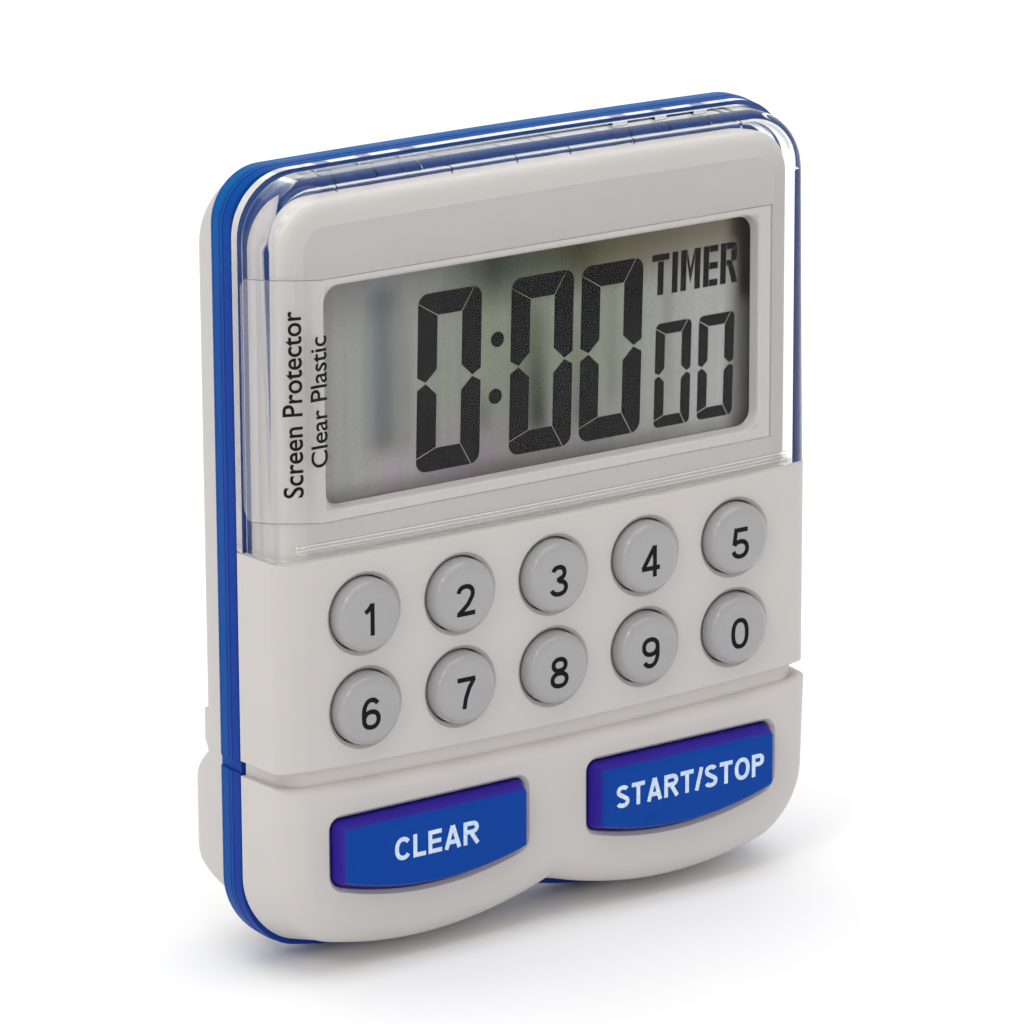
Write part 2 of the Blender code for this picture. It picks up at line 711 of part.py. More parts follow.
def make_battery_door(finish):
    """The curved cover of the battery bay."""
    outside = bulge_arc(BULGE_RADIUS, DOOR_ANGLES[0], DOOR_ANGLES[1], 10)
    inside = bulge_arc(BULGE_RADIUS - DOOR_THICKNESS, DOOR_ANGLES[0], DOOR_ANGLES[1], 10)
    bm = bmesh.new()
    add_bar(bm, outside + inside[::-1], -DOOR_HALF_WIDTH, DOOR_HALF_WIDTH)
    return new_object("battery_door", bm, finish)


# ---------------------------------------------------------------- stand, magnets and screws
def make_stand(finish):
    """A flat leg with a round knuckle and two trunnions on its hinge line."""
    depth, height = STAND_AXIS
    half = STAND_THICKNESS / 2
    knuckle = [(depth + half * math.cos(math.radians(a)), height + half * math.sin(math.radians(a)))
               for a in range(180, 361, 30)]
    tip = [(depth + half, STAND_TOP - 0.8), (depth + half - 0.5, STAND_TOP), (depth - half, STAND_TOP)]
    bm = bmesh.new()
    add_bar(bm, knuckle + tip, -STAND_HALF_WIDTH, STAND_HALF_WIDTH)
    stand = new_object("stand", bm, finish, (0.0, depth, height))
    bm = bmesh.new()
    end = STAND_HALF_WIDTH + TRUNNION
    add_rod(bm, depth, height, [(0.7, -end), (0.7, end)], 16)
    join(stand, new_object("tool_trunnions", bm))
    return stand


def make_magnets(finish):
    for i, (x, height) in enumerate(MAGNETS):
        front = REAR_BACK - MAGNET_THICKNESS
        profile = [(MAGNET_RADIUS - 0.2, front), (MAGNET_RADIUS, front + 0.2),
                   (MAGNET_RADIUS, REAR_BACK - 0.25), (MAGNET_RADIUS - 0.2, REAR_BACK - 0.05)]
        bm = bmesh.new()
        add_turned(bm, x, height, profile, 24)
        smooth(new_object("magnet_%d" % (i + 1), bm, finish))


def make_screws(finish):
    """Pan-head screws that pass through the rear shell into the front shell's bosses."""
    for i, (x, height) in enumerate(SCREWS):
        seat = SCREW_SEAT + GAP
        profile = [(0.35, 5.0), (0.85, 5.6), (0.85, seat), (2.0, seat), (2.0, seat + 0.8), (1.5, seat + 1.3)]
        bm = bmesh.new()
        add_turned(bm, x, height, profile, 12)
        screw = new_object("case_screw_%d" % (i + 1), bm, finish)
        bm = bmesh.new()
        add_box(bm, (x - 1.0, x + 1.0), (seat + 0.75, seat + 2.0), (height - 0.22, height + 0.22))
        cut(screw, new_object("tool_slot_%d" % (i + 1), bm))
        bm = bmesh.new()
        add_box(bm, (x - 0.22, x + 0.22), (seat + 0.75, seat + 2.0), (height - 1.0, height + 1.0))
        cut(screw, new_object("tool_cross_%d" % (i + 1), bm))


# ---------------------------------------------------------------- keys
def make_keys(finish):
    """Ten round keys: a domed cap, a flange that holds it behind the face and a stem."""
    profile = [(1.9, -1.5), (2.85, -1.4), (3.35, -1.05), (KEY_RADIUS, -0.3), (KEY_RADIUS, 1.8),
               (KEY_FLANGE, 1.8), (KEY_FLANGE, 2.4), (1.8, 2.4), (1.8, 2.9)]
    for label, (x, height) in zip(KEY_LABELS, key_places()):
        bm = bmesh.new()
        add_turned(bm, x, height, profile, 20)
        smooth(new_object("key_" + label, bm, finish, (x, 0.0, height)))


def make_wide_buttons(finish):
    """The two wide buttons, with tapered caps, a flange and two stems each."""
    for name, side in (("key_clear", -1), ("key_start_stop", 1)):
        levels = ((1.45, FRONT_DEPTH), (1.05, FRONT_DEPTH + 0.15), (0.85, FRONT_DEPTH + 0.5),
                  (WIDE_CLEARANCE, BAR_FRONT + 0.3), (WIDE_CLEARANCE, 1.8), (-0.7, 1.8), (-0.7, 2.4))
        bm = bmesh.new()
        rings = []
        for inset, depth in levels:
            rings.append([(x, depth, height) for x, height in wide_hole(side, inset)])
        add_rings(bm, rings)
        middle = side * (WIDE_INNER + WIDE_OUTER) / 2
        button = new_object(name, bm, finish, (middle, 0.0, (WIDE_TOP + WIDE_BASE) / 2))
        bm = bmesh.new()
        for shift in (-6.0, 6.0):
            add_disc(bm, middle + shift, 12.2, 1.8, 2.2, 2.9, 12)
        join(button, new_object("tool_stems_" + name, bm))


def contact_places():
    wide = [(side * (WIDE_INNER + WIDE_OUTER) / 2 + shift, 12.2) for side in (-1, 1) for shift in (-6.0, 6.0)]
    return key_places() + wide


def make_keypad_mat(finish):
    """A silicone sheet with a dome under every stem, drawn at the height a pressed key leaves it."""
    bm = bmesh.new()
    add_box(bm, (-27.2, 27.2), (MAT_FRONT, MAT_BACK), (7.6, 40.9))
    mat = new_object("keypad_mat", bm, finish)
    bm = bmesh.new()
    for x, height in SCREWS[2:]:
        add_disc(bm, x, height, BOSS_RADIUS + GAP, 3.0, 6.0, 16)
    cut(mat, new_object("tool_mat_notches", bm))
    bm = bmesh.new()
    for x, height in contact_places():
        add_turned(bm, x, height, [(1.6, DOME_TOP), (2.5, MAT_FRONT + 0.2)], 12)
    join(mat, new_object("tool_domes", bm))
    return mat


# ---------------------------------------------------------------- electronics
def make_board(finish):
    bm = bmesh.new()
    add_box(bm, (-27.3, 27.3), (BOARD_FRONT, BOARD_BACK), (7.4, 70.0))
    board = new_object("circuit_board", bm, finish)
    bm = bmesh.new()
    for x, height in SCREWS[2:]:
        add_disc(bm, x, height, BOSS_RADIUS + GAP, 3.0, 8.0, 16)
    cut(board, new_object("tool_board_notches", bm))


def make_display(polariser, glass, reflector, rubber):
    box("lcd_polariser", (-26.4, 26.4), (2.7, 2.9), (45.6, 69.3), polariser)
    box("lcd_glass", (-27.0, 27.0), (3.15, 4.0), (44.6, 69.9), glass)
    box("lcd_reflector", (-26.4, 26.4), (4.25, 4.45), (47.9, 69.4), reflector)
    box("zebra_connector", (-24.0, 24.0), (4.25, 4.85), (44.9, 47.0), rubber)


def make_parts_on_board(epoxy, metal, sleeve, ceramic):
    back = BOARD_BACK + 0.2
    bm = bmesh.new()
    add_turned(bm, 5.0, 55.0, [(6.0, back), (5.2, back + 0.9), (3.0, back + 1.5)], 20)
    smooth(new_object("controller_chip", bm, epoxy))
    bm = bmesh.new()
    add_rod(bm, back + 1.1, 40.0, [(0.8, 8.0), (1.0, 8.2), (1.0, 13.8), (0.8, 14.0)], 12)
    smooth(new_object("quartz_crystal", bm, metal))
    bm = bmesh.new()
    add_turned(bm, -10.0, 46.0, [(2.0, back), (2.0, back + 4.2), (1.7, back + 4.5)], 16)
    smooth(new_object("capacitor", bm, sleeve))
    box("resistor", (-20.0, -16.8), (back, back + 0.6), (44.2, 45.8), ceramic)


def make_buzzer(brass, ceramic):
    back = REAR_BACK - REAR_WALL - 0.4
    bm = bmesh.new()
    add_disc(bm, *BUZZER, BUZZER_RADIUS, back - 0.3, back, 28)
    smooth(new_object("buzzer_disc", bm, brass))
    bm = bmesh.new()
    add_disc(bm, *BUZZER, BUZZER_RADIUS - 2.5, back - 0.8, back - 0.5, 24)
    smooth(new_object("buzzer_ceramic", bm, ceramic))


# ---------------------------------------------------------------- battery and contacts
def make_battery(sleeve):
    left, shoulder, nub = BATTERY_ENDS
    radius = BATTERY_RADIUS
    profile = [(radius - 0.6, left), (radius, left + 0.4), (radius, shoulder - 0.5), (radius - 0.7, shoulder),
               (1.9, shoulder + 0.05), (1.9, nub)]
    bm = bmesh.new()
    add_rod(bm, BATTERY_DEPTH, BATTERY_HEIGHT, profile, 24)
    smooth(new_object("battery", bm, sleeve))


def make_contacts(metal):
    heights = (9.5, 16.5)
    depths = (BATTERY_DEPTH - 4.0, BATTERY_DEPTH + 2.0)
    end = DOOR_HALF_WIDTH
    box("battery_contact_plus", (end - 0.2, end + 0.1), depths, heights, metal)
    box("battery_contact_minus", (-end - 0.1, -end + 0.2), depths, heights, metal)
    turns, steps = 3.5, 10
    left, right = -end + 0.85, BATTERY_ENDS[0] - 0.65
    points = []
    count = int(turns * steps)
    for i in range(count + 1):
        share = i / count
        turn = 2 * math.pi * turns * share
        radius = 3.2 - 1.3 * share
        points.append((left + (right - left) * share, BATTERY_DEPTH - 1.0 + radius * math.cos(turn),
                       BATTERY_HEIGHT + radius * math.sin(turn)))
    bm = bmesh.new()
    add_tube(bm, points, 0.3, 6)
    smooth(new_object("battery_spring", bm, metal))


def smooth_path(points, steps=5):
    """Points along a Catmull-Rom curve through the given ones."""
    path = [Vector(point) for point in points]
    path = [path[0] * 2 - path[1]] + path + [path[-1] * 2 - path[-2]]
    result = []
    for a, b, c, d in zip(path, path[1:], path[2:], path[3:]):
        for i in range(steps):
            t = i / steps
            result.append(0.5 * (2 * b + (c - a) * t + (2 * a - 5 * b + 4 * c - d) * t * t
                                 + (3 * b - a - 3 * c + d) * t ** 3))
    result.append(path[-2])
    return result


def make_wires(red, black):
    """Two leads from the board to the battery contacts and two to the buzzer."""
    board = BOARD_BACK + 0.35
    to_battery = ((20.0, board, 26.0), (20.6, board + 2.2, 25.0), (22.5, 10.0, 22.8), (24.0, 11.4, 20.6))
    to_buzzer = ((14.0, board, 62.0), (13.0, board + 2.4, 63.5), (9.0, 11.2, 65.5), (4.0, 12.9, 66.0))
    for name, route in (("battery_wire", to_battery), ("buzzer_wire", to_buzzer)):
        for color, finish, side in (("red", red, 1), ("black", black, -1)):
            points = [(side * x, depth, height) for x, depth, height in route]
            bm = bmesh.new()
            add_tube(bm, smooth_path(points), WIRE_RADIUS, 6)
            smooth(new_object(name + "_" + color, bm, finish))


# ---------------------------------------------------------------- the whole timer
def main():
    clear_scene()
    shell_plastic = material("shell_plastic", (0.60, 0.56, 0.52), 0.45)
    blue_plastic = material("blue_plastic", (0.01, 0.07, 0.36), 0.35)
    button_plastic = material("button_plastic", (0.006, 0.05, 0.32), 0.3)
    key_plastic = material("key_plastic", (0.52, 0.52, 0.50), 0.2)
    clear_plastic = material("clear_plastic", (0.9, 0.92, 0.94), 0.05, alpha=0.3)
    film = material("film", (0.9, 0.88, 0.88), 0.1, alpha=0.2)
    silicone = material("silicone", (0.45, 0.46, 0.45), 0.7)
    board = material("board", (0.03, 0.22, 0.08), 0.5)
    epoxy = material("epoxy", (0.01, 0.01, 0.01), 0.4)
    steel = material("steel", (0.6, 0.6, 0.62), 0.3, 1.0)
    brass = material("brass", (0.7, 0.5, 0.2), 0.3, 1.0)
    magnet = material("magnet", (0.12, 0.12, 0.13), 0.5, 0.6)
    ceramic = material("ceramic", (0.75, 0.72, 0.66), 0.6)
    polariser = material("polariser", (0.25, 0.28, 0.25), 0.2)
    reflector = material("reflector", (0.5, 0.52, 0.5), 0.4, 0.5)
    battery = material("battery_sleeve", (0.02, 0.10, 0.05), 0.3)
    red = material("red_sleeve", (0.5, 0.02, 0.02), 0.4)
    black = material("black_sleeve", (0.015, 0.015, 0.015), 0.4)

    smooth(make_front_shell(shell_plastic))
    smooth(make_display_cover(clear_plastic))
    smooth(make_screen_film(film))
    smooth(make_mid_frame(blue_plastic))
    smooth(make_rear_shell(shell_plastic))
    smooth(make_battery_door(shell_plastic))
    smooth(make_stand(shell_plastic))
    make_magnets(magnet)
    make_screws(steel)
    make_keys(key_plastic)
    make_wide_buttons(button_plastic)
    make_keypad_mat(silicone)
    make_board(board)
    make_display(polariser, clear_plastic, reflector, silicone)
    make_parts_on_board(epoxy, steel, black, ceramic)
    make_buzzer(brass, ceramic)
    make_battery(battery)
    make_contacts(steel)
    make_wires(red, black)


main()
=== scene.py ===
import json
import math

import bmesh
import bpy
from mathutils import Matrix, Vector


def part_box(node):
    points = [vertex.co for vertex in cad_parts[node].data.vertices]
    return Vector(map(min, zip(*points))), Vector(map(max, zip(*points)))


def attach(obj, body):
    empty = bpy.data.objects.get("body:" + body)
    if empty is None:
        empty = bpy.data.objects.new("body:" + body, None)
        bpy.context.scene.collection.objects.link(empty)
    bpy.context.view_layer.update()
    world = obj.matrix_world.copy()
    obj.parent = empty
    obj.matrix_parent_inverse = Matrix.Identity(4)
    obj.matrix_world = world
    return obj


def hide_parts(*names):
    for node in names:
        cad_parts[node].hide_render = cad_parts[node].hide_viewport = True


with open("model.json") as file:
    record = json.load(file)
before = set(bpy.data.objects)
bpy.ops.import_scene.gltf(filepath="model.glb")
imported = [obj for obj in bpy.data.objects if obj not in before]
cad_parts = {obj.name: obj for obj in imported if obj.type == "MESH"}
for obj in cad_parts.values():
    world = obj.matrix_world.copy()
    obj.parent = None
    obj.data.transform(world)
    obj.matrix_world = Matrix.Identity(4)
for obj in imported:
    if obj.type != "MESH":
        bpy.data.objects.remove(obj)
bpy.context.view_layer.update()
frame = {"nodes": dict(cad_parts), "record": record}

# Lengths are in millimetres and a point is (x, depth, height), as in the part's own source:
# x from the middle, depth backwards from the keypad face, height from the base.
MM = 0.001
DEPTH_MIDDLE = 8.35
GAP = 0.3
BEVEL_INSET = 2.3
BEVEL_DROP = 0.36
EDGE_INSET = 1.1

FACE_HALF_WIDTH = 31.6
JOINT_HALF_WIDTH = 32.05
FRAME_HALF_WIDTH = 32.1
TOP_HEIGHT = 79.25
TOP_CROWN = 0.00026
TOP_RADIUS = 5.3
REAR_TOP_RADIUS = 8.5
COVER_TOP_RADIUS = 6.0
PLATEAU_TOP_RADIUS = 4.6
BASE_RADIUS = 5.8
LOBE_X = 15.0
EDGE_RADIUS = 3.1
FRONT_BASE = 1.7
JOINT_BASE = 0.8
LOBE_SPREAD = 98.0
FRONT_LOBE_SPREAD = 84.0
SHELL_BACK = 6.6
FRAME_FRONT = 6.9
FRAME_BACK = 10.4
FRAME_WIDTH = 4.0
REAR_FRONT = 10.7
REAR_BACK = 16.2
BACK_DEPTH = 18.9
WALL = 1.5
REAR_WALL = 1.3
REAR_INSET = 2.0
BAR_FRONT = -0.7
BAR_TOP = 19.2
GROOVE_TOP = 20.7
GROOVE_BEND = 0.0008
GROOVE_DEPTH = 0.55
SEAM_HEIGHT = 42.1
SEAM_BEND = 0.0003
SEAM_GAP = 0.15
HOOKS = ((11.5, 13.1), (16.6, 17.8), (21.3, 22.7))
PLATEAU_DEPTH = 1.4
PLATEAU_HALF_WIDTH = 29.8
PLATEAU_WALL = 1.1
PLATEAU_TOP = 76.7
COVER_THICKNESS = 1.1
COVER_STEP = 0.5
COVER_FOOT = 1.0
FILM_THICKNESS = 0.15
FILM_TAB_BACK = 5.2
FILM_RIGHT = 26.1
FILM_HEIGHTS = (46.0, 69.7)
WINDOW = (-24.9, 25.35, 46.95, 68.1)
WINDOW_RADIUS = 1.5
HOLE_RADIUS = 3.75
KEY_RADIUS = 3.62
KEY_FLANGE = 4.5
WIDE_FACE = -2.17
WIDE_INNER = 3.6
WIDE_OUTER = 26.6
WIDE_TOP = 16.5
WIDE_BASE = 7.4
WIDE_BASE_X = 14.5
WIDE_BASE_SPREAD = 70.0
WIDE_CORNER = 1.2
WIDE_HEEL = 1.7
WIDE_CLEARANCE = 0.35
BULGE_DEPTH = 10.4
BULGE_HEIGHT = 12.95
BULGE_RADIUS = 8.5
BULGE_ANGLES = (-54.0, 52.0)
BULGE_TOP = 24.0
DOOR_ANGLES = (-50.0, 46.0)
DOOR_HALF_WIDTH = 24.6
DOOR_THICKNESS = 1.1
DOOR_CLEARANCE = 2.2
BAY_HEIGHTS = (7.45, 18.55)
BAY_FRONT = 6.75
BATTERY_DEPTH = 12.3
SCREWS = ((-24.0, 72.8), (24.0, 72.8), (-26.9, 31.5), (26.9, 31.5))
BOSS_RADIUS = 2.0
SCREW_SEAT = 12.0
STAND_AXIS = (15.1, 23.2)
STAND_HALF_WIDTH = 14.0
STAND_TOP = 54.0
STAND_THICKNESS = 1.8
TRUNNION = 1.6
RECESS_FLOOR = 13.9
MAGNETS = ((-22.5, 61.5), (22.5, 61.5))
MAGNET_RADIUS = 4.5
MAGNET_THICKNESS = 1.5
BUZZER = (0.0, 66.0)
BUZZER_RADIUS = 8.5
SOUND_RING = 3.4
SOUND_HOLE = 0.7

ARC_STEPS = 14
PLATE_STEPS = 8
LINE_STEPS = 20
CORNER_STEPS = 8
SEGMENT_STEPS = 6


# ---- Mesh helpers
def place(point):
    x, depth, height = point
    return Vector((x * MM, (depth - DEPTH_MIDDLE) * MM, height * MM))


def new_object(name, bm):
    bmesh.ops.recalc_face_normals(bm, faces=bm.faces)
    mesh = bpy.data.meshes.new(name)
    bm.to_mesh(mesh)
    bm.free()
    made = bpy.data.objects.new(name, mesh)
    bpy.context.scene.collection.objects.link(made)
    return made


def apply_boolean(item, tool, operation):
    step = item.modifiers.new("shape", "BOOLEAN")
    step.operation = operation
    step.object = tool
    step.solver = "EXACT"
    graph = bpy.context.evaluated_depsgraph_get()
    done = bpy.data.meshes.new_from_object(item.evaluated_get(graph))
    item.modifiers.clear()
    old = item.data
    item.data = done
    bpy.data.meshes.remove(old)
    bpy.data.objects.remove(tool)


def cut(item, bm):
    apply_boolean(item, new_object("tool", bm), "DIFFERENCE")


def join(item, bm):
    apply_boolean(item, new_object("tool", bm), "UNION")


def keep_inside(item, bm):
    apply_boolean(item, new_object("tool", bm), "INTERSECT")


def finish(item, material, body, replaced=None, angle=35.0, weighted=True):
    if item.data.materials:
        item.data.materials.clear()
    item.data.materials.append(material)
    item.data.shade_smooth()
    item.data.set_sharp_from_angle(angle=math.radians(angle))
    if weighted:
        normals = item.modifiers.new("normals", "WEIGHTED_NORMAL")
        normals.keep_sharp = True
        normals.weight = 80
    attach(item, body)
    if replaced:
        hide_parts(replaced)


def add_rings(bm, rings):
    loops = [[bm.verts.new(place(point)) for point in ring] for ring in rings]
    count = len(loops[0])
    for near, far in zip(loops, loops[1:]):
        for i in range(count):
            j = (i + 1) % count
            bm.faces.new((near[i], near[j], far[j], far[i]))
    bm.faces.new(loops[0][::-1])
    bm.faces.new(loops[-1])


def add_levels(bm, levels, outline_at):
    """A closed solid through (inset, depth) levels, with an outline worked out for each inset."""
    add_rings(bm, [[(x, depth, height) for x, height in outline_at(inset)] for inset, depth in levels])


def add_prism(bm, outline, front, back):
    add_levels(bm, ((0.0, front), (0.0, back)), lambda inset: outline)


def add_bar(bm, profile, x_low, x_high):
    add_rings(bm, [[(x, depth, height) for depth, height in profile] for x in (x_low, x_high)])


def add_box(bm, x_range, depth_range, height_range):
    x0, x1 = x_range
    z0, z1 = height_range
    add_prism(bm, [(x0, z0), (x1, z0), (x1, z1), (x0, z1)], *depth_range)


def circle(radius, steps):
    turns = [2 * math.pi * i / steps for i in range(steps)]
    return [(radius * math.cos(turn), radius * math.sin(turn)) for turn in turns]


def add_turned(bm, x, height, profile, steps):
    rings = []
    for radius, depth in profile:
        rings.append([(x + u, depth, height + v) for u, v in circle(radius, steps)])
    add_rings(bm, rings)


def add_disc(bm, x, height, radius, front, back, steps=48):
    add_turned(bm, x, height, [(radius, front), (radius, back)], steps)


def add_rod(bm, depth, height, profile, steps):
    rings = []
    for radius, x in profile:
        rings.append([(x, depth + u, height + v) for u, v in circle(radius, steps)])
    add_rings(bm, rings)


# ---- Outlines
def lobe_height(x, base, spread):
    return base + (abs(x) - LOBE_X) ** 2 / spread


def top_height(x):
    return TOP_HEIGHT - TOP_CROWN * x * x


def seam_height(x):
    return SEAM_HEIGHT + SEAM_BEND * x * x


def groove_line(x):
    return GROOVE_TOP + GROOVE_BEND * x * x


def bar_line(x):
    return BAR_TOP + GROOVE_BEND * x * x


def level(height):
    """A line at one height, for outlines that ask for a height at each x."""
    return lambda x: height


def cover_line(x):
    return seam_height(x) + SEAM_GAP


def right_base(half_width, base, spread):
    flat = half_width - BASE_RADIUS
    steps = 18
    points = [(flat * i / steps, lobe_height(flat * i / steps, base, spread)) for i in range(1, steps + 1)]
    for i in range(1, ARC_STEPS + 1):
        turn = math.pi / 2 * i / ARC_STEPS
        x = flat + BASE_RADIUS * math.sin(turn)
        points.append((x, lobe_height(x, base, spread) + BASE_RADIUS * (1 - math.cos(turn))))
    return points


def right_top(half_width, drop=0.0, radius=TOP_RADIUS):
    flat = half_width - radius
    points = []
    for i in range(ARC_STEPS + 1):
        turn = math.pi / 2 * (1 - i / ARC_STEPS)
        x = flat + radius * math.sin(turn)
        points.append((x, top_height(x) - drop - radius * (1 - math.cos(turn))))
    steps = 10
    points += [(flat * (1 - i / steps), top_height(flat * (1 - i / steps)) - drop) for i in range(1, steps)]
    return points


def mirrored(points):
    return [(-x, height) for x, height in reversed(points)]


def full_outline(half_width, base, spread=LOBE_SPREAD, drop=0.0, radius=TOP_RADIUS):
    low = right_base(half_width, base, spread)
    high = right_top(half_width, drop, radius)
    cusp = [(0.0, lobe_height(0.0, base, spread))]
    crown = [(0.0, top_height(0.0) - drop)]
    return cusp + low + high + crown + mirrored(high) + mirrored(low)


def line_across(half_width, height_at):
    xs = [half_width * (1 - 2 * i / LINE_STEPS) for i in range(LINE_STEPS + 1)]
    return [(x, height_at(x)) for x in xs]


def lower_outline(half_width, base, spread, height_at):
    low = right_base(half_width, base, spread)
    cusp = [(0.0, lobe_height(0.0, base, spread))]
    return cusp + low + line_across(half_width, height_at) + mirrored(low)


def panel_outline(half_width):
    return line_across(half_width, groove_line)[::-1] + line_across(half_width, seam_height)


def upper_outline(half_width, start_at, drop=0.0, radius=TOP_RADIUS):
    low = line_across(half_width, start_at)
    high = right_top(half_width, drop, radius)
    return low[::-1] + high + [(0.0, top_height(0.0) - drop)] + mirrored(high)


def offset(outline, distance):
    """Move an anticlockwise outline inwards; distance may be one number or one for each edge."""
    count = len(outline)
    per_edge = distance if isinstance(distance, list) else [distance] * count
    moved = []
    for i in range(count):
        x, z = outline[i]
        before = outline[i - 1]
        after = outline[(i + 1) % count]
        first = Vector((x - before[0], z - before[1])).normalized()
        second = Vector((after[0] - x, after[1] - z)).normalized()
        n1 = Vector((-first.y, first.x))
        n2 = Vector((-second.y, second.x))
        d1 = per_edge[i - 1]
        d2 = per_edge[i]
        across = n1.x * n2.y - n1.y * n2.x
        if abs(across) < 0.01:
            shift = (n1 + n2).normalized() * (d1 + d2) / 2
        else:
            shift = Vector(((d1 * n2.y - d2 * n1.y) / across, (d2 * n1.x - d1 * n2.x) / across))
        moved.append((x + shift.x, z + shift.y))
    return moved


def edge_radii(outline, side_radius, lines):
    """The big rounding everywhere, but a smaller one on edges that lie on one of the bent lines."""
    radii = []
    for (x0, z0), (x1, z1) in zip(outline, outline[1:] + outline[:1]):
        radius = side_radius
        for line_at, line_radius in lines:
            if abs((z0 + z1) / 2 - line_at((x0 + x1) / 2)) < 0.1:
                radius = line_radius
        radii.append(radius)
    return radii


def add_plate(bm, outline, back_outline, radii, front, back):
    """A plate whose front edge is rounded, edge by edge, and whose sides run back to a second outline."""
    rings = []
    for i in range(PLATE_STEPS + 1):
        turn = math.pi / 2 * i / PLATE_STEPS
        inset = [radius * (1 - math.sin(turn)) for radius in radii]
        ring = offset(outline, inset)
        count = len(ring)
        depths = [front + (radii[j - 1] + radii[j]) / 2 * (1 - math.cos(turn)) for j in range(count)]
        rings.append([(x, depth, height) for (x, height), depth in zip(ring, depths)])
    rings.append([(x, back, height) for x, height in back_outline])
    add_rings(bm, rings)


def arc(cx, cz, radius, start, end, steps):
    """Points round a centre from one angle to another, in degrees."""
    points = []
    for i in range(steps + 1):
        turn = math.radians(start + (end - start) * i / steps)
        points.append((cx + radius * math.cos(turn), cz + radius * math.sin(turn)))
    return points


def rounded_rectangle(x0, x1, z0, z1, radius, steps=10):
    points = arc(x1 - radius, z0 + radius, radius, -90, 0, steps)
    points += arc(x1 - radius, z1 - radius, radius, 0, 90, steps)
    points += arc(x0 + radius, z1 - radius, radius, 90, 180, steps)
    return points + arc(x0 + radius, z0 + radius, radius, 180, 270, steps)


def wide_base(x):
    return WIDE_BASE + (x - WIDE_BASE_X) ** 2 / WIDE_BASE_SPREAD


def wide_hole(side, inset=0.0):
    """The hole of a wide button: straight sides and top, and a base that follows the lobe."""
    radius = max(WIDE_CORNER - inset, 0.22)
    heel = max(WIDE_HEEL - inset, 0.3)
    x0, x1, top = WIDE_INNER + inset, WIDE_OUTER - inset, WIDE_TOP - inset
    tilt_in = math.atan(2 * (x0 + radius - WIDE_BASE_X) / WIDE_BASE_SPREAD)
    tilt_out = math.atan(2 * (x1 - heel - WIDE_BASE_X) / WIDE_BASE_SPREAD)
    low_in = x0 + radius + radius * math.sin(tilt_in)
    low_out = x1 - heel + heel * math.sin(tilt_out)
    steps = 20
    outline = []
    for i in range(1, steps):
        x = low_in + (low_out - low_in) * i / steps
        outline.append((x, wide_base(x) + inset))
    high = wide_base(low_out) + inset + heel * math.cos(tilt_out)
    outline += arc(x1 - heel, high, heel, math.degrees(tilt_out) - 90, 0, CORNER_STEPS)
    outline += arc(x1 - radius, top - radius, radius, 0, 90, CORNER_STEPS)
    outline += arc(x0 + radius, top - radius, radius, 90, 180, CORNER_STEPS)
    high = wide_base(low_in) + inset + radius * math.cos(tilt_in)
    outline += arc(x0 + radius, high, radius, 180, 270 + math.degrees(tilt_in), CORNER_STEPS)
    if side < 0:
        outline = [(-x, height) for x, height in reversed(outline)]
    return outline


# ---- Materials
class Nodes:
    """A material's node tree with short calls for what the materials here repeat."""

    def __init__(self, name):
        self.material = bpy.data.materials.new(name)
        self.material.use_nodes = True
        self.tree = self.material.node_tree
        self.shader = self.tree.nodes["Principled BSDF"]
        self.output = self.tree.nodes["Material Output"]
        self.place = self.tree.nodes.new("ShaderNodeTexCoord").outputs["Object"]

    def link(self, a, b):
        self.tree.links.new(a, b)

    def new(self, kind, **values):
        node = self.tree.nodes.new(kind)
        for key, value in values.items():
            setattr(node, key, value)
        return node

    def noise(self, scale, detail=3.0, roughness=0.55, stretch=None):
        node = self.new("ShaderNodeTexNoise")
        node.inputs["Scale"].default_value = scale
        node.inputs["Detail"].default_value = detail
        node.inputs["Roughness"].default_value = roughness
        source = self.place
        if stretch:
            mapping = self.new("ShaderNodeMapping")
            mapping.inputs["Scale"].default_value = stretch
            self.link(self.place, mapping.inputs["Vector"])
            source = mapping.outputs["Vector"]
        self.link(source, node.inputs["Vector"])
        return node.outputs["Fac"]

    def span(self, value, low, high, from_low=0.3, from_high=0.7):
        node = self.new("ShaderNodeMapRange")
        node.inputs["From Min"].default_value = from_low
        node.inputs["From Max"].default_value = from_high
        node.inputs["To Min"].default_value = low
        node.inputs["To Max"].default_value = high
        self.link(value, node.inputs["Value"])
        return node.outputs["Result"]

    def mix(self, share, first, second):
        node = self.new("ShaderNodeMix", data_type="RGBA")
        sockets = [s for s in node.inputs if s.type == "RGBA"]
        for socket, value in zip(sockets, (first, second)):
            if isinstance(value, tuple):
                socket.default_value = (*value, 1.0)
            else:
                self.link(value, socket)
        self.link(share, node.inputs["Factor"])
        return [s for s in node.outputs if s.type == "RGBA"][0]

    def color(self, value):
        self.link(value, self.shader.inputs["Base Color"])

    def gloss(self, noise, low, high):
        self.link(self.span(noise, low, high), self.shader.inputs["Roughness"])

    def split(self, axis):
        node = self.new("ShaderNodeSeparateXYZ")
        self.link(self.place, node.inputs[0])
        return node.outputs[axis]

    def bump(self, height, strength, distance):
        node = self.new("ShaderNodeBump")
        node.inputs["Strength"].default_value = strength
        node.inputs["Distance"].default_value = distance
        self.link(height, node.inputs["Height"])
        self.link(node.outputs["Normal"], self.shader.inputs["Normal"])

    def set(self, **values):
        for key, value in values.items():
            self.shader.inputs[key.replace("_", " ")].default_value = value


def moulded(name, color, tint, roughness, grain=5200.0, grain_depth=0.000006, **sockets):
    """Moulded plastic: faint cloudy colour, fine skin texture and uneven gloss."""
    n = Nodes(name)
    clouds = n.noise(60.0, 4.0)
    n.color(n.mix(n.span(clouds, 0.0, 1.0), color, tint))
    smears = n.noise(140.0, 5.0, stretch=(1.0, 1.0, 0.5))
    n.gloss(smears, roughness * 0.86, roughness * 1.14)
    n.bump(n.noise(grain, 2.0), 0.35, grain_depth)
    n.set(**sockets)
    return n.material


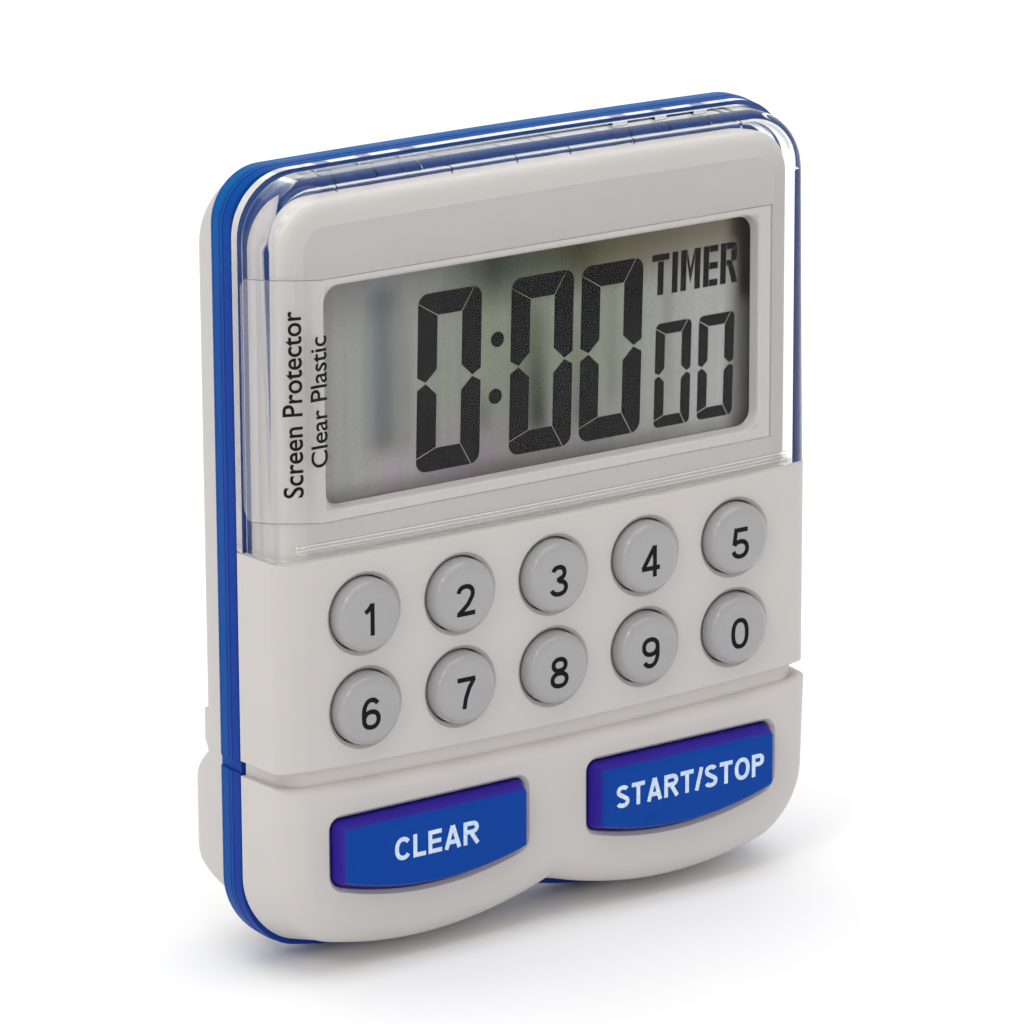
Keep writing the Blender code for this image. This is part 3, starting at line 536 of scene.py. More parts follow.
def ink(name, color, roughness=0.45):
    n = Nodes(name)
    wear = n.noise(2600.0, 4.0, 0.7)
    lighter = tuple(min(1.0, c * 1.5 + 0.006) for c in color)
    n.color(n.mix(n.span(wear, 0.0, 1.0, 0.45, 0.8), color, lighter))
    n.gloss(n.noise(900.0), roughness * 0.8, roughness * 1.2)
    n.bump(wear, 0.2, 0.000004)
    n.set(Specular_IOR_Level=0.12)
    return n.material


def clear(name, color, ior, roughness):
    """Clear moulded plastic that lets lamps through to what it covers."""
    n = Nodes(name)
    n.set(Base_Color=(*color, 1.0), IOR=ior, Transmission_Weight=1.0)
    n.gloss(n.noise(90.0, 4.0), roughness * 0.6, roughness * 1.4)
    n.bump(n.noise(45.0, 2.0), 0.12, 0.00004)
    light = n.new("ShaderNodeBsdfTransparent")
    light.inputs["Color"].default_value = (*color, 1.0)
    path = n.new("ShaderNodeLightPath")
    both = n.new("ShaderNodeMixShader")
    n.link(path.outputs["Is Shadow Ray"], both.inputs[0])
    n.link(n.shader.outputs["BSDF"], both.inputs[1])
    n.link(light.outputs["BSDF"], both.inputs[2])
    n.link(both.outputs["Shader"], n.output.inputs["Surface"])
    return n.material


def thin_film(name, color, alpha, roughness):
    n = Nodes(name)
    n.set(Base_Color=(*color, 1.0), Alpha=alpha, IOR=1.45)
    n.gloss(n.noise(220.0, 4.0), roughness * 0.7, roughness * 1.3)
    n.bump(n.noise(70.0, 3.0, stretch=(1.0, 1.0, 0.25)), 0.15, 0.00006)
    return n.material


def metal(name, color, roughness, brushed=(1.0, 1.0, 1.0)):
    n = Nodes(name)
    lines = n.noise(1800.0, 3.0, stretch=brushed)
    darker = tuple(c * 0.8 for c in color)
    n.color(n.mix(n.span(lines, 0.0, 1.0), darker, color))
    n.gloss(n.noise(300.0), roughness * 0.7, roughness * 1.4)
    n.bump(lines, 0.2, 0.000006)
    n.set(Metallic=1.0)
    return n.material


def cap_plastic():
    """The wide buttons' blue, with painted shade that turns their sides darker and more violet."""
    n = Nodes("button_plastic")
    face_y = (WIDE_FACE - DEPTH_MIDDLE) * MM
    # Painted shade: the sides get a darker, more violet copy of the face's blue.
    side_shade_share = n.span(n.split("Y"), 0.0, 1.0, face_y + 0.00012, face_y + 0.0006)
    clouds = n.span(n.noise(60.0, 4.0), 0.0, 1.0)
    face = n.mix(clouds, (0.0010, 0.049, 0.315), (0.0013, 0.055, 0.330))
    shaded_flank = n.mix(clouds, (0.031, 0.015, 0.285), (0.036, 0.018, 0.300))
    n.color(n.mix(side_shade_share, face, shaded_flank))
    n.gloss(n.noise(140.0, 5.0), 0.2, 0.27)
    n.bump(n.noise(3000.0, 2.0), 0.35, 0.000004)
    n.set(Specular_IOR_Level=0.08)
    return n.material


def frame_plastic():
    """The frame's blue: violet at its front edge, clearer behind, and a painted highlight of lighter blue
    along its top.
    """
    n = Nodes("blue_plastic")
    middle = (8.5 - DEPTH_MIDDLE) * MM
    behind = n.span(n.split("Y"), 0.0, 1.0, middle - 0.0006, middle + 0.0006)
    # Painted highlight: the frame's top is painted a lighter blue where the top lamp falls on it.
    painted_top_light = n.span(n.split("Z"), 0.0, 1.0, 0.066, 0.079)
    clouds = n.span(n.noise(60.0, 4.0), 0.0, 1.0)
    front = n.mix(clouds, (0.008, 0.042, 0.270), (0.011, 0.047, 0.288))
    back = n.mix(clouds, (0.003, 0.064, 0.295), (0.005, 0.073, 0.315))
    side = n.mix(behind, front, back)
    n.color(n.mix(painted_top_light, side, n.mix(behind, (0.002, 0.064, 0.296), (0.001, 0.100, 0.345))))
    n.gloss(n.noise(140.0, 5.0), 0.33, 0.43)
    n.bump(n.noise(3800.0, 2.0), 0.35, 0.000005)
    n.set(Specular_IOR_Level=0.04)
    return n.material


shell_plastic = moulded("shell_plastic", (0.552, 0.522, 0.500), (0.572, 0.540, 0.516), 0.42,
                        Specular_IOR_Level=0.45)
key_plastic = moulded("key_plastic", (0.345, 0.342, 0.348), (0.362, 0.358, 0.362), 0.16, grain=2500.0,
                      grain_depth=0.000003, Subsurface_Weight=0.12, Subsurface_Scale=0.0012,
                      Coat_Weight=0.25, Coat_Roughness=0.08)
blue_plastic = frame_plastic()
button_plastic = cap_plastic()
clear_plastic = clear("clear_plastic", (0.985, 0.990, 0.990), 1.3, 0.02)
clear_face = clear("clear_face", (0.985, 0.988, 0.990), 1.14, 0.02)
film_plastic = thin_film("film_plastic", (0.70, 0.64, 0.65), 0.006, 0.12)
film_tab = thin_film("film_tab", (0.90, 0.87, 0.86), 0.16, 0.16)
film_edge = thin_film("film_edge", (0.25, 0.24, 0.24), 0.5, 0.3)
key_ink = ink("key_ink", (0.0015, 0.0015, 0.002))
pale_ink = ink("pale_ink", (0.560, 0.680, 0.860))
film_ink = ink("film_ink", (0.004, 0.004, 0.004))


# ---- Front shell
def front_skin():
    """The keypad panel and the bar below it, with a core between them as the groove's floor."""
    bm = bmesh.new()
    panel = panel_outline(FACE_HALF_WIDTH)
    radii = edge_radii(panel, EDGE_RADIUS, ((seam_height, 0.35), (groove_line, 0.35)))
    add_plate(bm, panel, panel_outline(JOINT_HALF_WIDTH), radii, 0.0, SHELL_BACK)
    shell = new_object("front_shell_skin", bm)

    bm = bmesh.new()
    bar = lower_outline(FACE_HALF_WIDTH, FRONT_BASE, FRONT_LOBE_SPREAD, bar_line)
    back = lower_outline(JOINT_HALF_WIDTH, JOINT_BASE, LOBE_SPREAD, bar_line)
    add_plate(bm, bar, back, edge_radii(bar, EDGE_RADIUS, ((bar_line, 1.3),)), BAR_FRONT, SHELL_BACK)
    join(shell, bm)

    bm = bmesh.new()
    core_top = level(SEAM_HEIGHT - 3.0)
    core = lower_outline(FACE_HALF_WIDTH - GROOVE_DEPTH, FRONT_BASE + 1.0, FRONT_LOBE_SPREAD, core_top)
    back = lower_outline(JOINT_HALF_WIDTH - GROOVE_DEPTH, JOINT_BASE + 1.0, LOBE_SPREAD, core_top)
    add_plate(bm, core, back, [EDGE_RADIUS] * len(core), GROOVE_DEPTH, SHELL_BACK - 0.05)
    join(shell, bm)
    return shell


def join_surround(shell):
    """The display's surround: a flat face, a shallow bevel round it and a rounded edge."""
    bm = bmesh.new()
    surround = upper_outline(PLATEAU_HALF_WIDTH, level(SEAM_HEIGHT - 2.0), TOP_HEIGHT - PLATEAU_TOP,
                             PLATEAU_TOP_RADIUS)
    step = PLATEAU_DEPTH + BEVEL_DROP
    levels = [(BEVEL_INSET, PLATEAU_DEPTH), (BEVEL_INSET - 0.02, PLATEAU_DEPTH + 0.004),
              (EDGE_INSET + 0.02, step - 0.004), (EDGE_INSET, step)]
    start = math.pi * 0.15
    for i in range(1, 8):
        turn = math.pi / 2 * (0.3 + 0.7 * i / 7)
        levels.append((EDGE_INSET * (1 - math.sin(turn)) / (1 - math.sin(start)),
                       step + EDGE_INSET * (math.cos(start) - math.cos(turn))))
    levels.append((0.0, SHELL_BACK - 0.1))
    add_levels(bm, levels, lambda inset: offset(surround, inset))
    join(shell, bm)


def hollow_front(shell):
    """The hollow behind the keypad and the one behind the display, and the four screw bosses."""

    def shelf(x):
        return seam_height(x) - 0.9

    bm = bmesh.new()
    low = lower_outline(FACE_HALF_WIDTH - WALL, FRONT_BASE + WALL, FRONT_LOBE_SPREAD, shelf)
    radii = edge_radii(low, 1.6, ((shelf, 0.2),))
    add_plate(bm, low, low, radii, 1.5, SHELL_BACK + 1.0)
    cut(shell, bm)

    bm = bmesh.new()
    side_wall = 1.2
    drop = TOP_HEIGHT - PLATEAU_TOP + side_wall
    high = upper_outline(PLATEAU_HALF_WIDTH - side_wall, level(SEAM_HEIGHT - 2.4), drop,
                         PLATEAU_TOP_RADIUS - 1.1)
    add_prism(bm, high, PLATEAU_DEPTH + PLATEAU_WALL, SHELL_BACK + 1.2)
    cut(shell, bm)

    bm = bmesh.new()
    for x, height in SCREWS:
        root = 1.0 if height < SEAM_HEIGHT else PLATEAU_DEPTH + 0.6
        add_disc(bm, x, height, BOSS_RADIUS, root, FRAME_BACK, 32)
    join(shell, bm)


def open_front(shell):
    """Screw holes, key holes with rounded rims, the two wide holes and the display's window."""
    bm = bmesh.new()
    for x, height in SCREWS:
        add_disc(bm, x, height, 1.2, 4.6, FRAME_BACK + 1.0, 24)
    for node in KEY_NODES:
        x, height = centre_of(node)
        rim = ((1.1, -1.0), (0.44, -0.012), (0.4, 0.015), (0.36, 0.06), (0.06, 0.3), (0.0, 0.4), (0.0, 3.0))
        add_turned(bm, x, height, [(HOLE_RADIUS + grow, depth) for grow, depth in rim], 64)
    for side in (-1, 1):
        rim = ((-0.6, -1.0), (-0.24, -0.012), (-0.2, 0.02), (-0.16, 0.07), (0.12, 0.36), (0.16, 0.48))
        levels = [(inset, BAR_FRONT + behind) for inset, behind in rim] + [(0.16, 3.0)]
        add_levels(bm, levels, lambda inset: wide_hole(side, inset))
    x0, x1, z0, z1 = WINDOW
    slope = 0.35
    levels = [(slope + 0.5, PLATEAU_DEPTH - 0.7), (slope + 0.28, PLATEAU_DEPTH - 0.01),
              (slope + 0.12, PLATEAU_DEPTH + 0.06), (slope, PLATEAU_DEPTH + 0.22),
              (0.0, PLATEAU_DEPTH + PLATEAU_WALL + 0.5)]
    add_levels(bm, levels, lambda grow: rounded_rectangle(x0 - grow, x1 + grow, z0 - grow, z1 + grow,
                                                          WINDOW_RADIUS + grow))
    cut(shell, bm)


def build_front_shell():
    shell = front_skin()
    join_surround(shell)
    hollow_front(shell)
    open_front(shell)
    finish(shell, shell_plastic, "case", "front_shell", 30.0)
    face = (PLATEAU_DEPTH - DEPTH_MIDDLE) * MM
    mesh = shell.data
    for edge in mesh.edges:
        low, high = (mesh.vertices[i].co for i in edge.vertices)
        if abs(low.y - face) < 1e-6 and abs(high.y - face) < 1e-6 and low.z > SEAM_HEIGHT * MM:
            edge.use_edge_sharp = True


# ---- Cover and film
def build_cover():
    wall = JOINT_HALF_WIDTH - COVER_STEP
    outline = upper_outline(FACE_HALF_WIDTH - 0.1, cover_line, 0.5, COVER_TOP_RADIUS)
    back = upper_outline(wall, cover_line, 0.35, COVER_TOP_RADIUS)
    bm = bmesh.new()
    radii = edge_radii(outline, EDGE_RADIUS, ((cover_line, 0.22),))
    add_plate(bm, outline, back, radii, 0.0, SHELL_BACK - 0.05)
    cover = new_object("display_cover_clear", bm)

    bm = bmesh.new()
    foot = upper_outline(JOINT_HALF_WIDTH, cover_line, 0.0, COVER_TOP_RADIUS)
    add_prism(bm, foot, SHELL_BACK - COVER_FOOT, SHELL_BACK)
    join(cover, bm)

    bm = bmesh.new()
    inner = upper_outline(wall - 1.3, level(SEAM_HEIGHT - 2.0), 1.6, COVER_TOP_RADIUS - 1.3)
    add_plate(bm, inner, inner, [1.6] * len(inner), COVER_THICKNESS, SHELL_BACK + 1.0)
    cut(cover, bm)

    bm = bmesh.new()
    for side in (-1, 1):
        for low, high in HOOKS:
            x_range = (low - 0.1, high + 0.1) if side > 0 else (-high - 0.1, -low + 0.1)
            add_box(bm, x_range, (6.05, SHELL_BACK + 0.3), (77.2, top_height(high) - 0.52))
    for x in (3.1, 10.6, 23.6):
        for middle in (-x, x):
            add_box(bm, (middle - 0.06, middle + 0.06), (1.5, SHELL_BACK + 0.3), (77.2, 77.86))
    cut(cover, bm)

    for rise in (0.5, 0.86, 1.22):
        bm = bmesh.new()
        line = line_across(wall - 2.6, lambda x: cover_line(x) + rise)[::-1]
        groove = ((0.09, COVER_THICKNESS + 0.3), (0.075, COVER_THICKNESS - 0.02),
                  (0.01, COVER_THICKNESS - 0.12))
        add_levels(bm, groove, lambda half: [(x, z - half) for x, z in line]
                   + [(x, z + half) for x, z in line[::-1]])
        cut(cover, bm)
    finish(cover, clear_plastic, "case", "display_cover", 30.0)
    cover.data.materials.append(clear_face)
    wide_area = 0.0004
    for face in cover.data.polygons:
        if abs(face.normal.y) > 0.9999 and face.area > wide_area:
            face.material_index = 1


# Places of the film's three materials on its mesh.
FILM_CLEAR = 0
FILM_EDGE = 1
FILM_HAZE = 2

FILM_INNER = EDGE_RADIUS + GAP
FILM_OUTER = FILM_INNER + FILM_THICKNESS
BEND_X = FILM_OUTER - JOINT_HALF_WIDTH
FILM_LEFT_END = FILM_OUTER * math.pi / 2 + FILM_TAB_BACK - EDGE_RADIUS
FILM_RIGHT_END = BEND_X - FILM_RIGHT
FILM_CORNER = 1.5
FILM_RIM = 0.09
# The window as it shows through the film from the front left: its left, right, base and top.
SEEN_WINDOW = (BEND_X - WINDOW[0] + 1.5, BEND_X - WINDOW[1] + 0.9, WINDOW[2] + 0.25, WINDOW[3] + 0.85)


def film_point(along, height, lift=0.0):
    """A point on the film's outside; along is the way left from the start of its bend."""
    radius = FILM_OUTER + lift
    if along <= 0:
        return (BEND_X - along, EDGE_RADIUS - radius, height)
    turn = along / FILM_OUTER
    if turn <= math.pi / 2:
        return (BEND_X - radius * math.sin(turn), EDGE_RADIUS - radius * math.cos(turn), height)
    return (BEND_X - radius, EDGE_RADIUS + along - FILM_OUTER * math.pi / 2, height)


def film_columns():
    """Places along the film where its mesh has a column, with more of them at the round corners."""
    first = FILM_RIGHT_END + 0.12
    columns = [FILM_RIGHT_END, first, *SEEN_WINDOW[:2]]
    columns += [first + (FILM_LEFT_END - first) * i / 60 for i in range(1, 52)]
    columns += [FILM_LEFT_END - FILM_CORNER + FILM_CORNER * math.sin(math.pi / 2 * i / 10) for i in range(11)]
    return sorted(set(round(c, 4) for c in columns))


def film_heights(along):
    """Heights of the mesh's rows at one column: both edges, their strips' inner sides and the window."""
    inside = max(0.0, along - (FILM_LEFT_END - FILM_CORNER))
    cut_back = FILM_CORNER - math.sqrt(max(0.0, FILM_CORNER ** 2 - inside ** 2))
    low = FILM_HEIGHTS[0] + cut_back
    high = FILM_HEIGHTS[1] - cut_back
    window_low, window_high = SEEN_WINDOW[2:]
    return (low, low + FILM_RIM, max(window_low, low + 2 * FILM_RIM), window_high, high - FILM_RIM, high)


def build_film():
    """The film with round corners on its tab.

    Its edges are dense thin strips. Its face is hazy over the shell and almost clear over the window.
    """
    window_left, window_right = SEEN_WINDOW[:2]
    columns = film_columns()
    bm = bmesh.new()
    rows = []
    for along in columns:
        heights = film_heights(along)
        rows.append([[bm.verts.new(place(film_point(along, h, lift))) for h in heights]
                     for lift in (0.0, -FILM_THICKNESS)])
    last = len(rows) - 1
    for i in range(last):
        for layer in (0, 1):
            for j in range(5):
                a, b = rows[i][layer][j], rows[i][layer][j + 1]
                c, d = rows[i + 1][layer][j + 1], rows[i + 1][layer][j]
                face = bm.faces.new((a, b, c, d) if layer else (d, c, b, a))
                across = window_right - 0.001 < columns[i] < window_left - 0.001
                over_shell = layer == 0 and not (j == 2 and across)
                at_edge = j in (0, 4) or i in (0, last - 1)
                face.material_index = FILM_EDGE if at_edge else (FILM_HAZE if over_shell else FILM_CLEAR)
        for j in (0, 5):
            front, back = rows[i][0][j], rows[i][1][j]
            face = bm.faces.new((front, back, rows[i + 1][1][j], rows[i + 1][0][j]))
            face.material_index = FILM_EDGE
    for i in (0, last):
        for j in range(5):
            face = bm.faces.new((rows[i][0][j], rows[i][0][j + 1], rows[i][1][j + 1], rows[i][1][j]))
            face.material_index = FILM_EDGE
    film = new_object("screen_film_clear", bm)
    finish(film, film_plastic, "case", "screen_film", 40.0, weighted=False)
    film.data.materials.append(film_edge)
    film.data.materials.append(film_tab)


# ---- Blue frame
def build_mid_frame():
    outline = full_outline(FRAME_HALF_WIDTH, 0.0)
    levels = [(0.3, FRAME_FRONT), (0.16, FRAME_FRONT + 0.05), (0.1, FRAME_FRONT + 0.2)]
    for middle, before, after in ((8.05, 0.03, 0.0), (8.65, 0.0, 0.0), (9.9, 0.03, 0.05)):
        levels += [(before, middle - 0.07), (0.085, middle - 0.02)]
        levels += [(0.085, middle + 0.02), (after, middle + 0.07)]
    levels += [(0.07, FRAME_BACK - 0.2), (0.14, FRAME_BACK - 0.07), (0.35, FRAME_BACK)]
    bm = bmesh.new()
    add_levels(bm, levels, lambda inset: offset(outline, inset))
    ring = new_object("mid_frame_blue", bm)

    bm = bmesh.new()
    add_prism(bm, offset(outline, FRAME_WIDTH), FRAME_FRONT - 1.0, FRAME_BACK + 1.0)
    cut(ring, bm)

    bm = bmesh.new()
    for x, height in SCREWS:
        add_disc(bm, x, height, BOSS_RADIUS + GAP, FRAME_FRONT - 1.5, FRAME_BACK + 1.5, 32)
    for side in (-1, 1):
        edge = side * FRAME_HALF_WIDTH
        x_range = (min(edge - side * 0.3, edge + side * 0.5), max(edge - side * 0.3, edge + side * 0.5))
        low = BAR_TOP + GROOVE_BEND * FRAME_HALF_WIDTH ** 2
        add_box(bm, x_range, (FRAME_FRONT - 1.0, FRAME_BACK + 1.0), (low + 0.1, low + 1.2))
    cut(ring, bm)

    bm = bmesh.new()
    for low, high in HOOKS:
        for side in (-1, 1):
            x_range = (side * low, side * high) if side > 0 else (-high, -low)
            top = top_height(high) - 0.62
            add_box(bm, x_range, (6.15, FRAME_FRONT + 0.6), (top - 1.15, top))
    join(ring, bm)
    finish(ring, blue_plastic, "case", "mid_frame", 30.0)


# ---- Rear shell and its door
def bulge_arc(radius, low, high, steps=24):
    return arc(BULGE_DEPTH, BULGE_HEIGHT, radius, low, high, steps)


def rear_profile(inset):
    front = REAR_FRONT - (5.0 if inset else 0.0)
    back = REAR_BACK - inset
    bend = bulge_arc(BULGE_RADIUS - inset, *BULGE_ANGLES)
    slope = 1.0 / math.tan(math.radians(-BULGE_ANGLES[0]))
    foot = bend[0][1] - (bend[0][0] - front) * slope
    notch = bend[-1][1] + 0.6
    return [(front, foot)] + bend + [
        (back - 0.35, notch), (back, notch + 0.5), (back, TOP_HEIGHT + 3.0), (front, TOP_HEIGHT + 3.0)]


def rounded_levels(front, back, radius):
    levels = [(0.0, front)]
    for i in range(7):
        turn = math.pi / 2 * i / 6
        levels.append((radius * (1 - math.cos(turn)), back - radius * (1 - math.sin(turn))))
    return levels


def rear_skin(outline):
    """The rear shell's outside: a flat back with a bulge below it for the batteries."""
    bm = bmesh.new()
    add_levels(bm, rounded_levels(REAR_FRONT, REAR_BACK, 0.9), lambda inset: offset(outline, inset))
    shell = new_object("rear_shell_skin", bm)

    bm = bmesh.new()
    side = FRAME_HALF_WIDTH - REAR_INSET
    lower = [(x, height) for x, height in outline if height < BULGE_TOP]
    left = [point for point in lower if point[0] < 0]
    right = [point for point in lower if point[0] >= 0]
    bulge = right + [(side, BULGE_TOP), (-side, BULGE_TOP)] + left
    levels = rounded_levels(REAR_FRONT + 0.1, BACK_DEPTH + 0.1, 1.6)
    add_levels(bm, levels, lambda inset: offset(bulge, inset))
    join(shell, bm)

    bm = bmesh.new()
    add_bar(bm, rear_profile(0.0), -40.0, 40.0)
    keep_inside(shell, bm)
    return shell


def hollow_rear(shell, outline):
    bm = bmesh.new()
    add_prism(bm, offset(outline, REAR_WALL), REAR_FRONT - 4.0, BACK_DEPTH + 1.0)
    hollow = new_object("hollow", bm)
    bm = bmesh.new()
    add_bar(bm, rear_profile(REAR_WALL), -39.0, 39.0)
    keep_inside(hollow, bm)
    apply_boolean(shell, hollow, "DIFFERENCE")


def join_rear_walls(shell, outline):
    """Solid blocks round the battery bay, the stand's recess, the screws, the magnets and the buzzer."""
    bm = bmesh.new()
    bay_half = DOOR_HALF_WIDTH + 1.6
    bay_base, bay_top = BAY_HEIGHTS
    add_box(bm, (-bay_half, bay_half), (BAY_FRONT - 0.65, 15.5), (bay_base - 0.8, bay_top + 0.85))
    recess_half = STAND_HALF_WIDTH + 2.6
    add_box(bm, (-recess_half, recess_half), (RECESS_FLOOR - 1.3, REAR_BACK - 0.4), (20.6, STAND_TOP + 1.2))
    for x, height in SCREWS:
        add_disc(bm, x, height, 3.1, REAR_FRONT, REAR_BACK - 0.3, 32)
    for x, height in MAGNETS:
        add_disc(bm, x, height, MAGNET_RADIUS + 1.2, 13.0, REAR_BACK - 0.35, 40)
    add_disc(bm, *BUZZER, BUZZER_RADIUS + 1.5, 12.4, REAR_BACK - 0.35, 48)
    walls = new_object("walls", bm)
    bm = bmesh.new()
    add_prism(bm, offset(outline, 0.4), 2.0, BACK_DEPTH - 0.2)
    keep_inside(walls, bm)
    apply_boolean(shell, walls, "UNION")


def open_rear(shell):
    """The battery bay, the screws' seats, the magnets' pockets and the stand's recess."""
    bm = bmesh.new()
    bay_base, bay_top = BAY_HEIGHTS
    low, high = DOOR_ANGLES
    bay = [(BAY_FRONT, bay_base), (BATTERY_DEPTH - GAP, bay_base)]
    bay += bulge_arc(BULGE_RADIUS + 1.5, low - DOOR_CLEARANCE, high + DOOR_CLEARANCE, 16)
    bay += [(BATTERY_DEPTH - GAP, bay_top), (BAY_FRONT, bay_top)]
    add_bar(bm, bay, -DOOR_HALF_WIDTH - GAP, DOOR_HALF_WIDTH + GAP)
    for x, height in SCREWS:
        seat = [(1.3, REAR_FRONT - 1.0), (1.3, SCREW_SEAT), (2.25, SCREW_SEAT), (2.25, REAR_BACK - 0.25),
                (2.35, REAR_BACK - 0.08), (2.5, REAR_BACK + 0.01), (2.6, REAR_BACK + 1.0)]
        add_turned(bm, x, height, seat, 40)
    for x, height in MAGNETS:
        pocket = REAR_BACK - MAGNET_THICKNESS - GAP
        rim = [(MAGNET_RADIUS + GAP, pocket), (MAGNET_RADIUS + GAP, REAR_BACK - 0.2),
               (MAGNET_RADIUS + GAP + 0.2, REAR_BACK + 0.01), (MAGNET_RADIUS + GAP + 0.3, REAR_BACK + 1.0)]
        add_turned(bm, x, height, rim, 56)
    slot_half = STAND_HALF_WIDTH + GAP
    add_box(bm, (-slot_half, slot_half), (RECESS_FLOOR, REAR_BACK + 1.0), (20.0, STAND_TOP + GAP))
    cut(shell, bm)


def drill_rear(shell):
    """The buzzer's seat, the stand's bearing, the sound holes and a finger notch over the stand."""
    bm = bmesh.new()
    add_disc(bm, *BUZZER, BUZZER_RADIUS + GAP, 10.0, REAR_BACK - REAR_WALL - 0.1, 48)
    trunnion_end = STAND_HALF_WIDTH + TRUNNION + GAP
    add_rod(bm, *STAND_AXIS, [(0.95, -trunnion_end), (0.95, trunnion_end)], 24)
    cut(shell, bm)

    bm = bmesh.new()
    for i in range(5):
        turn = math.radians(72 * i + 90)
        x = BUZZER[0] + SOUND_RING * math.cos(turn)
        height = BUZZER[1] + SOUND_RING * math.sin(turn)
        hole = [(SOUND_HOLE, 13.0), (SOUND_HOLE, REAR_BACK - 0.15), (SOUND_HOLE + 0.15, REAR_BACK + 0.01),
                (SOUND_HOLE + 0.2, REAR_BACK + 1.0)]
        add_turned(bm, x, height, hole, 24)
    add_disc(bm, 0.0, STAND_TOP - 0.6, 4.0, RECESS_FLOOR + 0.05, REAR_BACK + 1.0, 40)
    cut(shell, bm)


def build_rear_shell():
    outline = offset(full_outline(FRAME_HALF_WIDTH, 0.0, radius=REAR_TOP_RADIUS), REAR_INSET)
    shell = rear_skin(outline)
    hollow_rear(shell, outline)
    join_rear_walls(shell, outline)
    open_rear(shell)
    drill_rear(shell)
    finish(shell, shell_plastic, "case", "rear_shell", 30.0)


def build_battery_door():
    """The curved cover of the battery bay, with grip ribs sunk in its middle."""
    low, high = DOOR_ANGLES
    bm = bmesh.new()
    outside = bulge_arc(BULGE_RADIUS, low, high, 40)
    inside = bulge_arc(BULGE_RADIUS - DOOR_THICKNESS, low, high, 40)
    add_bar(bm, outside + inside[::-1], -DOOR_HALF_WIDTH, DOOR_HALF_WIDTH)
    door = new_object("battery_door_skin", bm)
    bm = bmesh.new()
    for i in range(7):
        turn = math.radians(-2 + 5.2 * i)
        depth = BULGE_DEPTH + BULGE_RADIUS * math.cos(turn)
        height = BULGE_HEIGHT + BULGE_RADIUS * math.sin(turn)
        ends = [(0.05, -5.2), (0.22, -5.0), (0.22, 5.0), (0.05, 5.2)]
        add_rod(bm, depth, height, ends, 16)
    cut(door, bm)
    finish(door, shell_plastic, "battery_door", "battery_door", 30.0)


def build_stand():
    """A flat leg with a rounded edge, a sunk panel and two trunnions on its hinge line."""
    depth, height = STAND_AXIS
    half = STAND_THICKNESS / 2
    round_off = 0.6
    profile = arc(depth, height, half, 180, 360, 12)
    profile += arc(depth + half - round_off, STAND_TOP - round_off, round_off, 0, 90, 5)
    profile.append((depth - half, STAND_TOP))
    bm = bmesh.new()
    add_bar(bm, profile, -STAND_HALF_WIDTH, STAND_HALF_WIDTH)
    stand = new_object("stand_leg", bm)
    bm = bmesh.new()
    end = STAND_HALF_WIDTH + TRUNNION
    add_rod(bm, depth, height, [(0.55, -end), (0.7, 0.15 - end), (0.7, end - 0.15), (0.55, end)], 24)
    join(stand, bm)
    bm = bmesh.new()
    levels = ((0.0, depth + half - 0.35), (0.35, depth + half + 0.01), (0.5, depth + half + 1.0))
    add_levels(bm, levels, lambda grow: rounded_rectangle(-10.5 - grow, 10.5 + grow, 28.0 - grow, 48.5 + grow,
                                                          1.6 + grow))
    cut(stand, bm)
    finish(stand, shell_plastic, "stand", "stand", 30.0)


# ---- Keys
KEY_NODES = ["key_" + label for label in "1234567890"]


def centre_of(node):
    """Middle of a CAD node as (x, height) in millimetres."""
    low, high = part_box(node)
    return ((low.x + high.x) / 2 / MM, (low.z + high.z) / 2 / MM)


def dome(radius):
    """Depth of a round key's face at a radius: a low dome, a faint ring and a rounded rim."""
    share = min(1.0, radius / KEY_RADIUS)
    crown = -1.5 + 0.05 * share * share
    ring = 0.03 * math.exp(-((radius - 2.45) / 0.25) ** 2)
    rim = 1.25 * (1 - (1 - share ** 8) ** 0.5)
    return crown + ring + rim


def build_key(node):
    x, height = centre_of(node)
    radii = [0.02] + [0.3 * i for i in range(1, 7)] + [1.9 + 0.1 * i for i in range(12)]
    radii += [3.06 + (KEY_RADIUS - 3.06) * math.sin(math.pi / 2 * i / 12) for i in range(1, 13)]
    profile = [(radius, dome(radius)) for radius in radii]
    profile += [(KEY_RADIUS, 1.8), (KEY_FLANGE, 1.8), (KEY_FLANGE, 2.4), (1.8, 2.4), (1.8, 2.9)]
    bm = bmesh.new()
    add_turned(bm, x, height, profile, 72)
    key = new_object(node + "_cap", bm)
    finish(key, key_plastic, node, node, 40.0, weighted=False)


def build_wide_button(node, side):
    edge = ((1.46, 0.0), (1.34, 0.005), (1.2, 0.035), (1.09, 0.1), (1.01, 0.2), (0.95, 0.34), (0.88, 0.55))
    levels = [(inset, WIDE_FACE + behind) for inset, behind in edge]
    levels += [(WIDE_CLEARANCE, BAR_FRONT + 0.3), (WIDE_CLEARANCE, 1.8), (-0.7, 1.8), (-0.7, 2.4)]
    bm = bmesh.new()
    add_levels(bm, levels, lambda inset: wide_hole(side, inset))
    button = new_object(node + "_cap", bm)
    bm = bmesh.new()
    for shift in (-6.0, 6.0):
        x = side * (WIDE_INNER + WIDE_OUTER) / 2 + shift
        add_disc(bm, x, 12.2, 1.8, 2.2, 2.9, 24)
    join(button, bm)
    finish(button, button_plastic, node, node, 30.0)


